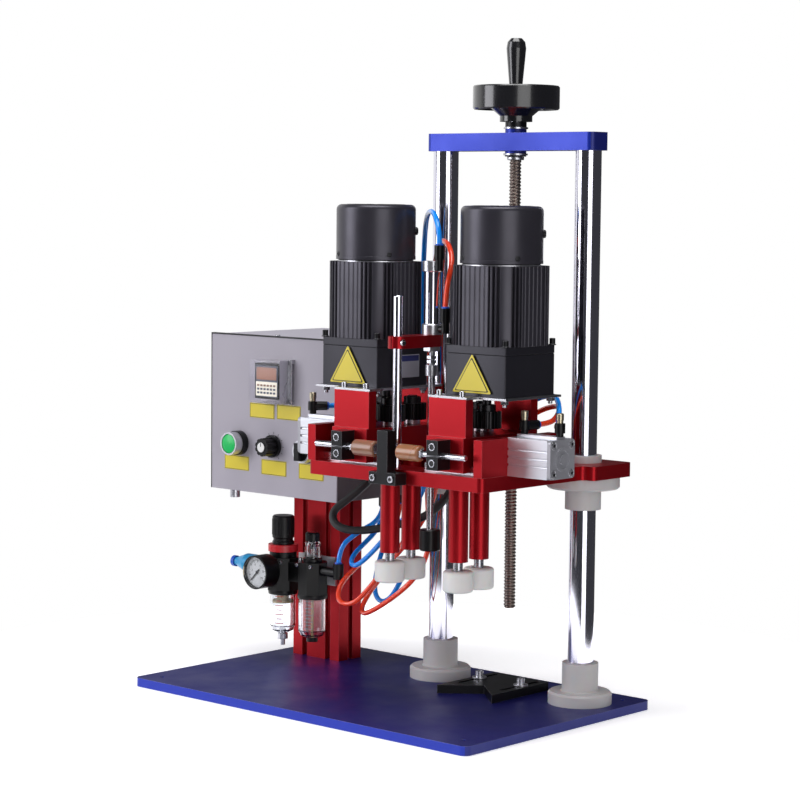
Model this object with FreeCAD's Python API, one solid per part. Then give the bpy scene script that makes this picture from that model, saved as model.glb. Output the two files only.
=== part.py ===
import FreeCAD, Part
import math
import os

V = FreeCAD.Vector
X_AXIS = V(1, 0, 0)
Y_AXIS = V(0, 1, 0)
Z_AXIS = V(0, 0, 1)

# Millimetres. X runs along the long front edge, Y to the back, Z up from the base plate's underside.

# Running clearances
GAP = 0.3
SLIDE_GAP = 0.4

# Base plate and the two guide columns
BASE_LENGTH = 526.0
BASE_DEPTH = 333.0
BASE_THICK = 10.6
BASE_CORNER_R = 9.0
BASE_HOLE_D = 6.0
BASE_HOLE_INSET = 24.0
COLUMN_D = 30.0
COLUMN_LEFT_X = -2.1
COLUMN_RIGHT_X = 211.6
COLUMN_Y = 97.4
FOOT_FLANGE_D = 74.0
FOOT_FLANGE_H = 14.4
FOOT_NECK_D = 42.0
FOOT_NECK_TOP = 58.0

# Top plate, lead screw and handwheel
TOP_Z = 646.5
TOP_THICK = 20.8
TOP_OVERHANG = 18.0
TOP_DEPTH = 33.2
TOP_CORNER_R = 8.0
SCREW_D = 14.0
SCREW_LOW_Z = 108.5
BEARING_D = 25.0
BEARING_LIP_D = 28.5
BEARING_LIP_H = 2.0
BEARING_BELOW = 6.5
BEARING_ABOVE = 12.7
WHEEL_HUB_D = 38.0
WHEEL_HUB_H = 6.5
WHEEL_CONE_D = 59.0
WHEEL_CONE_H = 9.0
WHEEL_RIM_D = 101.0
WHEEL_RIM_H = 26.0
WHEEL_WALL = 6.0
WHEEL_FLOOR = 7.0
HANDLE_RADIUS = 37.0
HANDLE_ANGLE = -52.0
HANDLE_D = 22.6
HANDLE_FOOT_D = 15.5
HANDLE_H = 52.0
HANDLE_PIN_D = 8.0

# Sliding head plate with its bushes and nut
HEAD_Z = 275.0
HEAD_THICK = 16.0
HEAD_FRONT_Y = -116.6
HEAD_LEFT_X = -21.5
HEAD_RIGHT_X = 238.6
HEAD_BACK_Y = 134.0
EAR_FRONT_Y = 61.0
EAR_LEFT_X = -45.0
EAR_RIGHT_X = 254.4
HEAD_CORNER_R = 7.0
BUSH_D = 41.5
BUSH_FLANGE_D = 84.0
BUSH_FLANGE_H = 14.0
BUSH_NECK_DROP = 38.3
BUSH_RISE = 8.0
NUT_D = 26.0
NUT_FLANGE_D = 44.0
NUT_FLANGE_H = 8.0
NUT_DROP = 12.0
HOSE_PORT_X0 = 8.0
HOSE_PORT_X1 = 50.0
HOSE_PORT_Y = 37.0
HOSE_PORT_W = 30.0
CABLE_PORT_X = 66.0
CABLE_PORT_Y = 40.0

# Clamping units. S is the spindle plane of each side and u runs outward from it
UNIT_Y = -49.0
SPINDLE_RIGHT_X = 164.2
SPINDLE_LEFT_X = 61.7
SPINDLE_SPACING = 36.0
TRAVEL_IN = 9.0
TRAVEL_OUT = 14.0
RAIL_W = 9.0
RAIL_H = 9.0
RAIL_OFFSET = 49.0
BLOCK_IN = -6.6
BLOCK_OUT = 46.6
BLOCK_NOSE = -15.5
BLOCK_NOSE_W = 70.0
BLOCK_DEPTH = 127.5
BLOCK_LIFT = 3.0
BLOCK_TOP_Z = 332.0
SPACER_THICK = 12.0
SPACER_H = 42.0
SPACER_SPAN = 124.1
MOTOR_PLATE_T = 2.5
MOTOR_PLATE_OUT = 90.3
MOTOR_U = 42.2
GEARBOX_W = 90.0
GEARBOX_H = 46.0
GEAR_FLANGE_H = 8.7
MOTOR_BODY_H = 87.3
MOTOR_BODY_R = 26.0
COVER_D = 91.5
COVER_H = 63.0
COVER_SEAM = 2.0
GEAR_MODULE = 1.5
GEAR_TEETH = 20
GEAR_H = 26.0
GEAR_LIFT = 6.0
PINION_SHAFT_D = 10.0
SLEEVE_D = 22.3
SLEEVE_LOW_Z = 187.6
SHAFT_D = 11.0
GRIP_D = 34.5
GRIP_TOP_Z = 177.6
GRIP_H = 23.8

# Compact cylinders with their brackets
BRACKET_T = 12.0
BRACKET_H = 41.0
BRACKET_BACK_Y = 13.0
CYLINDER_Y = -52.0
CYLINDER_Z = 311.8
CYLINDER_W = 42.5
CYLINDER_L = 54.4
CYLINDER_CAP_T = 6.0
ROD_D = 12.0
COUPLING_D = 24.0
COUPLING_T = 7.0
PORT_INNER = 5.8
PORT_OUTER = 54.8
PORT_STEM_D = 8.0
PORT_BODY_D = 11.5

# Stop clamps, stop screws and the fixed stop block
CLAMP_IN = 12.0
CLAMP_W = 16.0
CLAMP_DEPTH = 21.0
CLAMP_LOW_Z = 297.0
CLAMP_H = 32.8
STOP_ROD_D = 7.0
STOP_ROD_DROP = 11.5
STOP_ROD_Z = 312.5
STOP_TAIL = 60.4
BUMPER_D = 18.0
BUMPER_L = 32.0
BUMPER_TIP_RIGHT = -35.6
BUMPER_TIP_LEFT = -32.5
STOP_X = 110.05
STOP_BASE_W = 39.5
STOP_BASE_H = 13.5
STOP_DEPTH = 18.2
STOP_STEM_W = 15.3
STOP_STEM_D = 13.5
STOP_TOP_Z = 335.0

# Press arm and the small cap presser
POST_ROD_X = 107.3
POST_ROD_Y = -107.6
POST_ROD_D = 10.3
POST_ROD_TOP = 483.0
ARM_Z = 424.5
ARM_T = 13.5
ARM_W = 22.0
PRESS_Y = -50.0
PRESS_CAP_D = 23.4
PRESS_CAP_H = 12.0
PRESS_TUBE_D = 19.0
PRESS_TUBE_H = 58.5
PRESS_NOSE_D = 12.0
PISTON_D = 6.0
PRESS_ROD_D = 8.2
PRESS_PAD_D = 23.6
PRESS_PAD_H = 24.3
PRESS_PAD_Z = 192.5
PRESS_SOCKET_RISE = 8.0

# Profile post and the control box on it
PROFILE_X = -193.0
PROFILE_Y = 97.2
PROFILE_W = 80.0
PROFILE_D = 40.0
PROFILE_SLOT = 8.2
PROFILE_LIP = 4.5
PROFILE_T_W = 15.0
PROFILE_T_H = 6.0
PROFILE_BORE = 6.8
BOX_WIDTH = 216.8
BOX_DEPTH = 200.0
BOX_H = 194.5
BOX_LOW_Z = 224.2
BOX_FRONT_Y = 0.0
BOX_SHEET = 1.6
PANEL_T = 1.5
TRIM = 3.0
POWER_X = 50.5
CONTROL_Z = 60.5
TORQUE_X = 109.5
SELECT_X = 176.0
BEZEL_D = 28.4
BEZEL_COLLAR_D = 30.5
BEZEL_LEN = 20.5
BUTTON_D = 23.6
BUTTON_STROKE = 3.5
KNOB_D = 22.5
KNOB_SKIRT_D = 28.0
KNOB_LEN = 21.0
KNOB_FLUTES = 10
TIMER_X = 113.5
TIMER_Z = 141.5
TIMER_W = 43.0
TIMER_LEN = 16.0
TIMER_COVER_W = 53.0
TIMER_COVER_LEN = 21.0
TIMER_COVER_T = 1.4
GLAND_X = -292.0
GLAND_Y = 30.0
GLAND_D = 12.7
GLAND_DROP = 14.0
CABLE_EXIT_Y = 46.0
CABLE_EXIT_Z = 296.0
BOX_PORT_D = 11.0
BOX_PORT_H = 12.0

# Filter, regulator and lubricator set
AIR_Y = 40.0
FILTER_X = -215.4
LUBE_X = -163.9
AIR_BODY_W = 38.0
AIR_BODY_LOW = 99.5
AIR_BODY_TOP = 141.0
AIR_NECK_D = 34.0
AIR_RING_Z = 148.4
AIR_RING_D = 37.5
AIR_RING_H = 8.6
REG_KNOB_D = 27.5
REG_KNOB_TOP = 193.2
FILTER_BOWL_D = 32.0
LUBE_BOWL_D = 34.5
BOWL_LOW_Z = 45.0
BOWL_WALL = 2.4
GAUGE_Z = 126.0
GAUGE_D = 42.0
GAUGE_FACE_Y = -9.9
GAUGE_DEPTH = 23.0
DIAL_D = 38.0
DOME_D = 20.0
DOME_TOP = 165.7
OIL_KNOB_D = 18.0
OIL_KNOB_H = 11.3

# Bottle guide block on the base plate
GUIDE_X = 102.5
GUIDE_W = 83.5
GUIDE_FRONT_Y = 19.0
GUIDE_BACK_Y = 124.0
GUIDE_APEX_Y = 55.0
GUIDE_T = 10.4
GUIDE_SLOT_X = 31.7
GUIDE_SLOT_W = 6.6
GUIDE_SLOT_Y0 = 46.6
GUIDE_SLOT_Y1 = 118.4
GUIDE_BOLT_Y = 84.5
GUIDE_BOLT_D = 6.0
GUIDE_WASHER_D = 17.5
GUIDE_WASHER_T = 1.5
GUIDE_HEAD_D = 9.5
GUIDE_HEAD_H = 7.0

# Hose and cable diameters
HOSE_D = 6.0
CABLE_D = 9.5
TEE_X = 36.0
TEE_BLUE_Y = 28.0
TEE_RED_Y = 46.0
TEE_Z = 303.0
TEE_REACH = 12.0
UNION_BLUE_X = 16.0
UNION_RED_X = 28.0
UNION_Y = 37.0
UNION_Z = 314.0
UNION_H = 18.0
BOX_PORTS = {
    "supply": (-92.0, 90.0),
    "clamp_red": (-100.0, 130.0),
    "clamp_blue": (-112.0, 112.0),
    "press_red": (-95.0, 152.0),
    "press_blue": (-118.0, 142.0),
}

HEAD_TOP_Z = HEAD_Z + HEAD_THICK
MID_X = (COLUMN_LEFT_X + COLUMN_RIGHT_X) / 2
BLOCK_LOW_Z = HEAD_TOP_Z + BLOCK_LIFT
SPACER_TOP_Z = BLOCK_TOP_Z + SPACER_H
MOTOR_Z = SPACER_TOP_Z + MOTOR_PLATE_T
BOX_LEFT_X = PROFILE_X - BOX_WIDTH / 2
PITCH_D = GEAR_MODULE * GEAR_TEETH
PINION_U = math.sqrt(PITCH_D ** 2 - (SPINDLE_SPACING / 2) ** 2)
GEAR_Z = BLOCK_TOP_Z + GEAR_LIFT


def box(x0, x1, y0, y1, z0, z1):
    return Part.makeBox(x1 - x0, y1 - y0, z1 - z0, V(x0, y0, z0))


def rod(diameter, start, length, axis=Z_AXIS):
    return Part.makeCylinder(diameter / 2, length, start, axis)


def tube(outer, inner, start, length, axis=Z_AXIS):
    return rod(outer, start, length, axis).cut(rod(inner, start, length, axis))


def rounded_box(x0, x1, y0, y1, z0, z1, radius):
    block = box(x0, x1, y0, y1, z0, z1)
    upright = [e for e in block.Edges if abs(e.tangentAt(e.FirstParameter).z) > 0.9]
    return block.makeFillet(radius, upright)


def prism(points, z0, height):
    corners = [V(x, y, z0) for x, y in points]
    face = Part.Face(Part.makePolygon(corners + [corners[0]]))
    return face.extrude(V(0, 0, height))


def turned(profile, x, y):
    corners = [V(r, 0, z) for r, z in profile]
    face = Part.Face(Part.makePolygon(corners + [corners[0]]))
    solid = face.revolve(V(0, 0, 0), Z_AXIS, 360)
    solid.translate(V(x, y, 0))
    return solid


def hexagon(across, start, length, axis=Z_AXIS):
    radius = across / math.sqrt(3)
    corners = [V(radius * math.cos(math.pi / 3 * i), radius * math.sin(math.pi / 3 * i), 0) for i in range(7)]
    solid = Part.Face(Part.makePolygon(corners)).extrude(V(0, 0, length))
    solid.Placement = FreeCAD.Placement(start, FreeCAD.Rotation(Z_AXIS, axis))
    return solid


def on_side(shape, side):
    # Shapes of a clamping unit are drawn with u outward and placed on either side
    if side == "left":
        placed = shape.mirror(V(0, 0, 0), X_AXIS)
        placed.translate(V(SPINDLE_LEFT_X, 0, 0))
        return placed
    placed = shape.copy()
    placed.translate(V(SPINDLE_RIGHT_X, 0, 0))
    return placed


def spindle_y(end):
    return UNIT_Y + (SPINDLE_SPACING / 2 if end == "back" else -SPINDLE_SPACING / 2)


# Base plate with rounded corners and a fixing hole near each corner
def base_plate():
    x, y = BASE_LENGTH / 2, BASE_DEPTH / 2
    plate = rounded_box(-x, x, -y, y, 0, BASE_THICK, BASE_CORNER_R)
    for sx in (-1, 1):
        for sy in (-1, 1):
            centre = V(sx * (x - BASE_HOLE_INSET), sy * (y - BASE_HOLE_INSET), 0)
            plate = plate.cut(rod(BASE_HOLE_D, centre, BASE_THICK))
    return plate


# Flanged nylon socket that stands each column on the base plate
def column_socket(x):
    profile = [
        (COLUMN_D / 2, BASE_THICK),
        (FOOT_FLANGE_D / 2, BASE_THICK),
        (FOOT_FLANGE_D / 2, BASE_THICK + FOOT_FLANGE_H - 2.5),
        (FOOT_FLANGE_D / 2 - 2.5, BASE_THICK + FOOT_FLANGE_H),
        (FOOT_NECK_D / 2 + 1.5, BASE_THICK + FOOT_FLANGE_H),
        (FOOT_NECK_D / 2, BASE_THICK + FOOT_FLANGE_H + 1.5),
        (FOOT_NECK_D / 2, FOOT_NECK_TOP),
        (COLUMN_D / 2, FOOT_NECK_TOP),
    ]
    return turned(profile, x, COLUMN_Y)


def column(x):
    return rod(COLUMN_D, V(x, COLUMN_Y, BASE_THICK), TOP_Z - BASE_THICK)


# Cross plate over both columns with the bearing hole for the lead screw
def top_plate():
    x0 = COLUMN_LEFT_X - TOP_OVERHANG
    x1 = COLUMN_RIGHT_X + TOP_OVERHANG
    y0 = COLUMN_Y - TOP_DEPTH / 2
    plate = rounded_box(x0, x1, y0, y0 + TOP_DEPTH, TOP_Z, TOP_Z + TOP_THICK, TOP_CORNER_R)
    return plate.cut(rod(BEARING_D, V(MID_X, COLUMN_Y, TOP_Z), TOP_THICK))


# Flanged sleeve in the top plate that the lead screw turns in
def screw_bearing():
    low = TOP_Z - BEARING_BELOW
    high = TOP_Z + TOP_THICK + BEARING_ABOVE
    bore = SCREW_D / 2 + GAP
    profile = [
        (bore, low),
        (BEARING_D / 2, low),
        (BEARING_D / 2, low + 1.5),
        (BEARING_LIP_D / 2, low + 1.5),
        (BEARING_LIP_D / 2, low + 1.5 + BEARING_LIP_H),
        (BEARING_D / 2, low + 1.5 + BEARING_LIP_H),
        (BEARING_D / 2, high - 8),
        (BEARING_LIP_D / 2, high - 8),
        (BEARING_LIP_D / 2, high - 8 + BEARING_LIP_H),
        (BEARING_D / 2, high - 8 + BEARING_LIP_H),
        (BEARING_D / 2, high),
        (bore, high),
    ]
    return turned(profile, MID_X, COLUMN_Y)


# Lead screw with a thrust collar below its bearing
def lead_screw():
    top = TOP_Z + TOP_THICK + BEARING_ABOVE + WHEEL_HUB_H + WHEEL_CONE_H + WHEEL_FLOOR
    collar = TOP_Z - BEARING_BELOW - GAP
    profile = [
        (0, SCREW_LOW_Z),
        (SCREW_D / 2 - 1.5, SCREW_LOW_Z),
        (SCREW_D / 2, SCREW_LOW_Z + 1.5),
        (SCREW_D / 2, collar - 3),
        (SCREW_D / 2 + 3, collar - 3),
        (SCREW_D / 2 + 3, collar),
        (SCREW_D / 2, collar),
        (SCREW_D / 2, top),
        (0, top),
    ]
    return turned(profile, MID_X, COLUMN_Y)


# Cup-shaped handwheel: hub, cone and rim around a dished floor
def handwheel():
    z0 = TOP_Z + TOP_THICK + BEARING_ABOVE + GAP
    z1 = z0 + WHEEL_HUB_H
    z2 = z1 + WHEEL_CONE_H
    z3 = z2 + WHEEL_RIM_H
    rim = WHEEL_RIM_D / 2
    inner = rim - WHEEL_WALL
    profile = [
        (SCREW_D / 2, z0),
        (WHEEL_HUB_D / 2, z0),
        (WHEEL_HUB_D / 2, z1),
        (WHEEL_CONE_D / 2, z2),
        (inner, z2),
        (inner, z2 - 1.5),
        (rim - 1.5, z2 - 1.5),
        (rim, z2),
        (rim, z3 - 1.5),
        (rim - 1.5, z3),
        (inner, z3),
        (inner - 2, z3 - 8),
        (WHEEL_HUB_D / 2 + 6, z2 + WHEEL_FLOOR),
        (WHEEL_HUB_D / 2 - 4, z2 + WHEEL_FLOOR + 6),
        (SCREW_D / 2, z2 + WHEEL_FLOOR + 6),
    ]
    wheel = turned(profile, MID_X, COLUMN_Y)
    spot = handle_spot()
    boss = rod(HANDLE_FOOT_D, V(spot.x, spot.y, z2 + 1), z3 - z2 - 1)
    pin = rod(HANDLE_PIN_D, V(spot.x, spot.y, z2 + 1), z3 - z2 + HANDLE_H - 12)
    return wheel.fuse([boss, pin]).removeSplitter()


def handle_spot():
    angle = math.radians(HANDLE_ANGLE)
    return V(MID_X + HANDLE_RADIUS * math.cos(angle), COLUMN_Y + HANDLE_RADIUS * math.sin(angle), 0)


# Tapered grip that spins on the handwheel's pin
def wheel_handle():
    z0 = TOP_Z + TOP_THICK + BEARING_ABOVE + WHEEL_HUB_H + WHEEL_CONE_H + WHEEL_RIM_H + 2 * GAP
    bore = HANDLE_PIN_D / 2 + GAP
    pin_top = z0 + HANDLE_H - 11
    profile = [
        (bore, z0),
        (HANDLE_FOOT_D / 2, z0),
        (HANDLE_D / 2 - 1, z0 + HANDLE_H * 0.55),
        (HANDLE_D / 2, z0 + HANDLE_H * 0.78),
        (HANDLE_D / 2 - 1.2, z0 + HANDLE_H * 0.92),
        (HANDLE_D / 2 - 5, z0 + HANDLE_H),
        (0, z0 + HANDLE_H),
        (0, pin_top),
        (bore, pin_top),
    ]
    spot = handle_spot()
    return turned(profile, spot.x, spot.y)


# Head plate: front table, rear bar with an ear at each end, spindle window and bores
def head_plate():
    outline = [
        (HEAD_LEFT_X, HEAD_FRONT_Y),
        (HEAD_RIGHT_X, HEAD_FRONT_Y),
        (HEAD_RIGHT_X, EAR_FRONT_Y),
        (EAR_RIGHT_X, EAR_FRONT_Y),
        (EAR_RIGHT_X, HEAD_BACK_Y),
        (EAR_LEFT_X, HEAD_BACK_Y),
        (EAR_LEFT_X, EAR_FRONT_Y),
        (HEAD_LEFT_X, EAR_FRONT_Y),
    ]
    plate = prism(outline, HEAD_Z, HEAD_THICK)
    corners = [e for e in plate.Edges if abs(e.tangentAt(e.FirstParameter).z) > 0.9]
    plate = plate.makeFillet(HEAD_CORNER_R, corners)
    reach = SLEEVE_D / 2 + 2
    half = SPINDLE_SPACING / 2 + SLEEVE_D / 2 + 2
    window = rounded_box(
        SPINDLE_LEFT_X - TRAVEL_OUT - reach, SPINDLE_RIGHT_X + TRAVEL_OUT + reach,
        UNIT_Y - half, UNIT_Y + half, HEAD_Z, HEAD_TOP_Z, 8)
    plate = plate.cut(window)
    for x in (COLUMN_LEFT_X, COLUMN_RIGHT_X):
        plate = plate.cut(rod(BUSH_D, V(x, COLUMN_Y, HEAD_Z), HEAD_THICK))
    plate = plate.cut(rod(NUT_D, V(MID_X, COLUMN_Y, HEAD_Z), HEAD_THICK))
    plate = plate.cut(rod(POST_ROD_D, V(POST_ROD_X, POST_ROD_Y, HEAD_Z), HEAD_THICK))
    plate = plate.cut(rod(CABLE_D, V(CABLE_PORT_X, CABLE_PORT_Y, HEAD_Z), HEAD_THICK))
    half = HOSE_PORT_W / 2
    port = rounded_box(HOSE_PORT_X0, HOSE_PORT_X1, HOSE_PORT_Y - half, HOSE_PORT_Y + half,
                       HEAD_Z, HEAD_TOP_Z, half - 1)
    return plate.cut(port)


# Low gland on the head plate where the motor cable ends
def head_gland():
    spot = V(CABLE_PORT_X, CABLE_PORT_Y, HEAD_TOP_Z)
    gland = hexagon(17, spot, 4).fuse(rod(15, spot + V(0, 0, 4), 4)).removeSplitter()
    return gland.cut(rod(CABLE_D, spot, 5))


# Nylon bush that slides on each column, its flange under the head plate
def column_bush(x):
    bore = COLUMN_D / 2 + GAP
    flange_low = HEAD_Z - BUSH_FLANGE_H
    profile = [
        (bore, HEAD_Z - BUSH_NECK_DROP),
        (BUSH_D / 2, HEAD_Z - BUSH_NECK_DROP),
        (BUSH_D / 2, flange_low),
        (BUSH_FLANGE_D / 2 - 2, flange_low),
        (BUSH_FLANGE_D / 2, flange_low + 2),
        (BUSH_FLANGE_D / 2, HEAD_Z),
        (BUSH_D / 2, HEAD_Z),
        (BUSH_D / 2, HEAD_TOP_Z + BUSH_RISE),
        (bore, HEAD_TOP_Z + BUSH_RISE),
    ]
    return turned(profile, x, COLUMN_Y)


# Flanged bronze nut of the lead screw
def screw_nut():
    bore = SCREW_D / 2 + GAP
    profile = [
        (bore, HEAD_Z - NUT_DROP),
        (NUT_D / 2, HEAD_Z - NUT_DROP),
        (NUT_D / 2, HEAD_TOP_Z),
        (NUT_FLANGE_D / 2, HEAD_TOP_Z),
        (NUT_FLANGE_D / 2, HEAD_TOP_Z + NUT_FLANGE_H),
        (bore, HEAD_TOP_Z + NUT_FLANGE_H),
    ]
    return turned(profile, MID_X, COLUMN_Y)


def bracket_u(side):
    outer = HEAD_RIGHT_X - SPINDLE_RIGHT_X if side == "right" else SPINDLE_LEFT_X - HEAD_LEFT_X
    return outer - BRACKET_T


# Upright end bracket that carries a cylinder
def end_bracket(side):
    u0 = bracket_u(side)
    plate = box(u0, u0 + BRACKET_T, HEAD_FRONT_Y, BRACKET_BACK_Y, HEAD_TOP_Z, HEAD_TOP_Z + BRACKET_H)
    bore = rod(COUPLING_D + 2, V(u0, CYLINDER_Y, CYLINDER_Z), BRACKET_T, X_AXIS)
    return on_side(plate.cut(bore), side)


# Linear rails that each carriage runs on
def slide_rails(side):
    u1 = bracket_u(side)
    rails = []
    for offset in (-RAIL_OFFSET, RAIL_OFFSET):
        y = UNIT_Y + offset
        rail = box(BLOCK_IN - TRAVEL_IN - 4, u1, y - RAIL_W / 2, y + RAIL_W / 2, HEAD_TOP_Z, HEAD_TOP_Z + RAIL_H)
        rails.append(on_side(rail, side))
    return rails


# Square extruded barrel with side grooves, a top port rail and the rod bore
def cylinder_barrel(side):
    u0 = bracket_u(side) + BRACKET_T
    half = CYLINDER_W / 2
    low = CYLINDER_Z - half
    barrel = box(u0, u0 + CYLINDER_L, CYLINDER_Y - half, CYLINDER_Y + half, low, low + CYLINDER_W)
    for edge_y in (CYLINDER_Y - half, CYLINDER_Y + half):
        for z in (-8.5, 0.0, 8.5):
            groove = rod(3.0, V(u0, edge_y, CYLINDER_Z + z), CYLINDER_L, X_AXIS)
            barrel = barrel.cut(groove)
    rail = box(u0 + 1, u0 + CYLINDER_L + 2, CYLINDER_Y - 7, CYLINDER_Y + 7, low + CYLINDER_W, low + CYLINDER_W + 3)
    bore = rod(ROD_D + 2 * GAP, V(u0, CYLINDER_Y, CYLINDER_Z), CYLINDER_L - 8, X_AXIS)
    return on_side(barrel.fuse(rail).removeSplitter().cut(bore), side)


# End cap with a turned boss ring
def cylinder_cap(side):
    u0 = bracket_u(side) + BRACKET_T + CYLINDER_L
    half = CYLINDER_W / 2
    cap = box(u0, u0 + CYLINDER_CAP_T - 1.5, CYLINDER_Y - half, CYLINDER_Y + half,
              CYLINDER_Z - half, CYLINDER_Z + half)
    corner = [e for e in cap.Edges if abs(e.tangentAt(e.FirstParameter).x) > 0.9]
    cap = cap.makeFillet(4, corner)
    centre = V(u0 + CYLINDER_CAP_T - 1.5, CYLINDER_Y, CYLINDER_Z)
    ring = tube(26, 20, centre, 1.5, X_AXIS)
    boss = rod(11, centre, 1.5, X_AXIS)
    return on_side(cap.fuse([ring, boss]), side)


def port_u(side, place):
    u0 = bracket_u(side) + BRACKET_T
    return u0 + (PORT_INNER if place == "inner" else PORT_OUTER)


def port_direction(place):
    return V(0.35, 0.94, 0) if place == "inner" else V(-0.67, 0.74, 0)


# Elbow fitting with a side socket for its hose
def port_elbow(side, place):
    u = port_u(side, place)
    z0 = CYLINDER_Z + CYLINDER_W / 2 + 3
    stem = rod(PORT_STEM_D, V(u, CYLINDER_Y, z0), 4)
    body = rod(PORT_BODY_D, V(u, CYLINDER_Y, z0 + 4), 10.5)
    way = port_direction(place)
    socket = rod(PORT_BODY_D - 1, V(u, CYLINDER_Y, z0 + 9.2), 17, way)
    mouth = rod(HOSE_D, V(u, CYLINDER_Y, z0 + 9.2) + way * 10, 8, way)
    screw = rod(PORT_STEM_D - 3, V(u, CYLINDER_Y, z0 + 14.5), 4)
    fitting = stem.fuse([body, socket]).removeSplitter().cut(mouth)
    return on_side(fitting.fuse(screw).removeSplitter(), side)


# Small knurled flow knob on top of each elbow
def flow_knob(side, place):
    u = port_u(side, place)
    z0 = CYLINDER_Z + CYLINDER_W / 2 + 3 + 14.5 + GAP
    bore = (PORT_STEM_D - 3) / 2 + 0.25
    profile = [
        (bore, z0),
        (3.6, z0),
        (3.6, z0 + 3),
        (4.1, z0 + 3),
        (4.1, z0 + 9.5),
        (3.4, z0 + 10.5),
        (0, z0 + 10.5),
        (0, z0 + 4.2),
        (bore, z0 + 4.2),
    ]
    return on_side(turned(profile, u, CYLINDER_Y), side)


# Carriage block with rail grooves, spindle bores and an inward nose
def carriage_block(side):
    y0 = UNIT_Y - BLOCK_DEPTH / 2 - 2.3
    block = box(BLOCK_IN, BLOCK_OUT, y0, y0 + BLOCK_DEPTH, BLOCK_LOW_Z, BLOCK_TOP_Z)
    nose = rounded_box(BLOCK_NOSE, BLOCK_IN + 12, UNIT_Y - BLOCK_NOSE_W / 2, UNIT_Y + BLOCK_NOSE_W / 2,
                       BLOCK_LOW_Z, BLOCK_TOP_Z, 5)
    block = block.fuse(nose).removeSplitter()
    for offset in (-RAIL_OFFSET, RAIL_OFFSET):
        y = UNIT_Y + offset
        half = RAIL_W / 2 + GAP
        top = HEAD_TOP_Z + RAIL_H + GAP
        block = block.cut(box(BLOCK_NOSE - 1, BLOCK_OUT + 1, y - half, y + half, BLOCK_LOW_Z - 1, top))
    for end in ("front", "back"):
        block = block.cut(rod(SLEEVE_D, V(0, spindle_y(end), BLOCK_LOW_Z), BLOCK_TOP_Z - BLOCK_LOW_Z))
    return on_side(block, side)


# Upright spacers between the carriage block and the motor plate
def carriage_spacers(side):
    y0 = UNIT_Y - SPACER_SPAN / 2 - 0.5
    y1 = y0 + SPACER_SPAN
    front = box(BLOCK_IN, BLOCK_OUT, y0, y0 + SPACER_THICK, BLOCK_TOP_Z, SPACER_TOP_Z)
    back = box(BLOCK_IN, BLOCK_OUT, y1 - SPACER_THICK, y1, BLOCK_TOP_Z, SPACER_TOP_Z)
    return [on_side(front, side), on_side(back, side)]


# Thin motor plate with a tongue over each spacer and holes for the gears' shafts
def motor_plate(side):
    y0 = UNIT_Y - SPACER_SPAN / 2 - 0.5
    y1 = y0 + SPACER_SPAN
    wide0 = UNIT_Y - GEARBOX_W / 2 - 3
    wide1 = UNIT_Y + GEARBOX_W / 2 + 3
    outline = [
        (BLOCK_IN - 0.8, y0), (BLOCK_OUT + 0.6, y0), (BLOCK_OUT + 6, wide0), (MOTOR_PLATE_OUT, wide0),
        (MOTOR_PLATE_OUT, wide1), (BLOCK_OUT + 6, wide1), (BLOCK_OUT + 0.6, y1), (BLOCK_IN - 0.8, y1),
    ]
    plate = prism(outline, SPACER_TOP_Z, MOTOR_PLATE_T)
    plate = plate.cut(rod(PINION_SHAFT_D + 8, V(PINION_U, UNIT_Y, SPACER_TOP_Z), MOTOR_PLATE_T))
    return on_side(plate, side)


# Gearhead: square case with a slightly wider flange on top
def gearbox(side):
    half = GEARBOX_W / 2
    low, high = MOTOR_Z, MOTOR_Z + GEARBOX_H
    case = rounded_box(MOTOR_U - half + 0.6, MOTOR_U + half - 0.6, UNIT_Y - half + 0.6, UNIT_Y + half - 0.6,
                       low, high, 3)
    flange = rounded_box(MOTOR_U - half, MOTOR_U + half, UNIT_Y - half, UNIT_Y + half,
                         high, high + GEAR_FLANGE_H, 3.5)
    bore = rod(PINION_SHAFT_D + 2 * GAP, V(PINION_U, UNIT_Y, low), 30)
    return on_side(case.fuse(flange).removeSplitter().cut(bore), side)


# Motor frame: rounded square with upright cooling fins all round
def motor_frame(side):
    half = GEARBOX_W / 2
    core = half - MOTOR_BODY_R
    points = []
    fin, depth = 3.4, 2.6
    path = []
    arc = math.pi / 2 * MOTOR_BODY_R
    length = 4 * (2 * core + arc)
    count = int(length / (2 * fin))
    step = length / count
    for i in range(count):
        path += [(i * step, 0), (i * step + step * 0.58, 0), (i * step + step * 0.62, depth),
                 (i * step + step * 0.96, depth)]
    for distance, inset in path:
        points.append(perimeter_point(distance, core, MOTOR_BODY_R, inset))
    z0 = MOTOR_Z + GEARBOX_H + GEAR_FLANGE_H
    body = prism([(MOTOR_U + x, UNIT_Y + y) for x, y in points], z0, MOTOR_BODY_H)
    return on_side(body, side)


def perimeter_point(distance, core, radius, inset):
    # Point on a rounded square, a distance along its edge and an inset from it
    arc = math.pi / 2 * radius
    side = 2 * core + arc
    turn = int(distance // side) % 4
    rest = distance - (distance // side) * side
    if rest <= 2 * core:
        x, y = rest - core, -(core + radius) + inset
    else:
        angle = (rest - 2 * core) / radius
        x = core + (radius - inset) * math.sin(angle)
        y = -core - (radius - inset) * math.cos(angle)
    for _ in range(turn):
        x, y = -y, x
    return x, y


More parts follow.
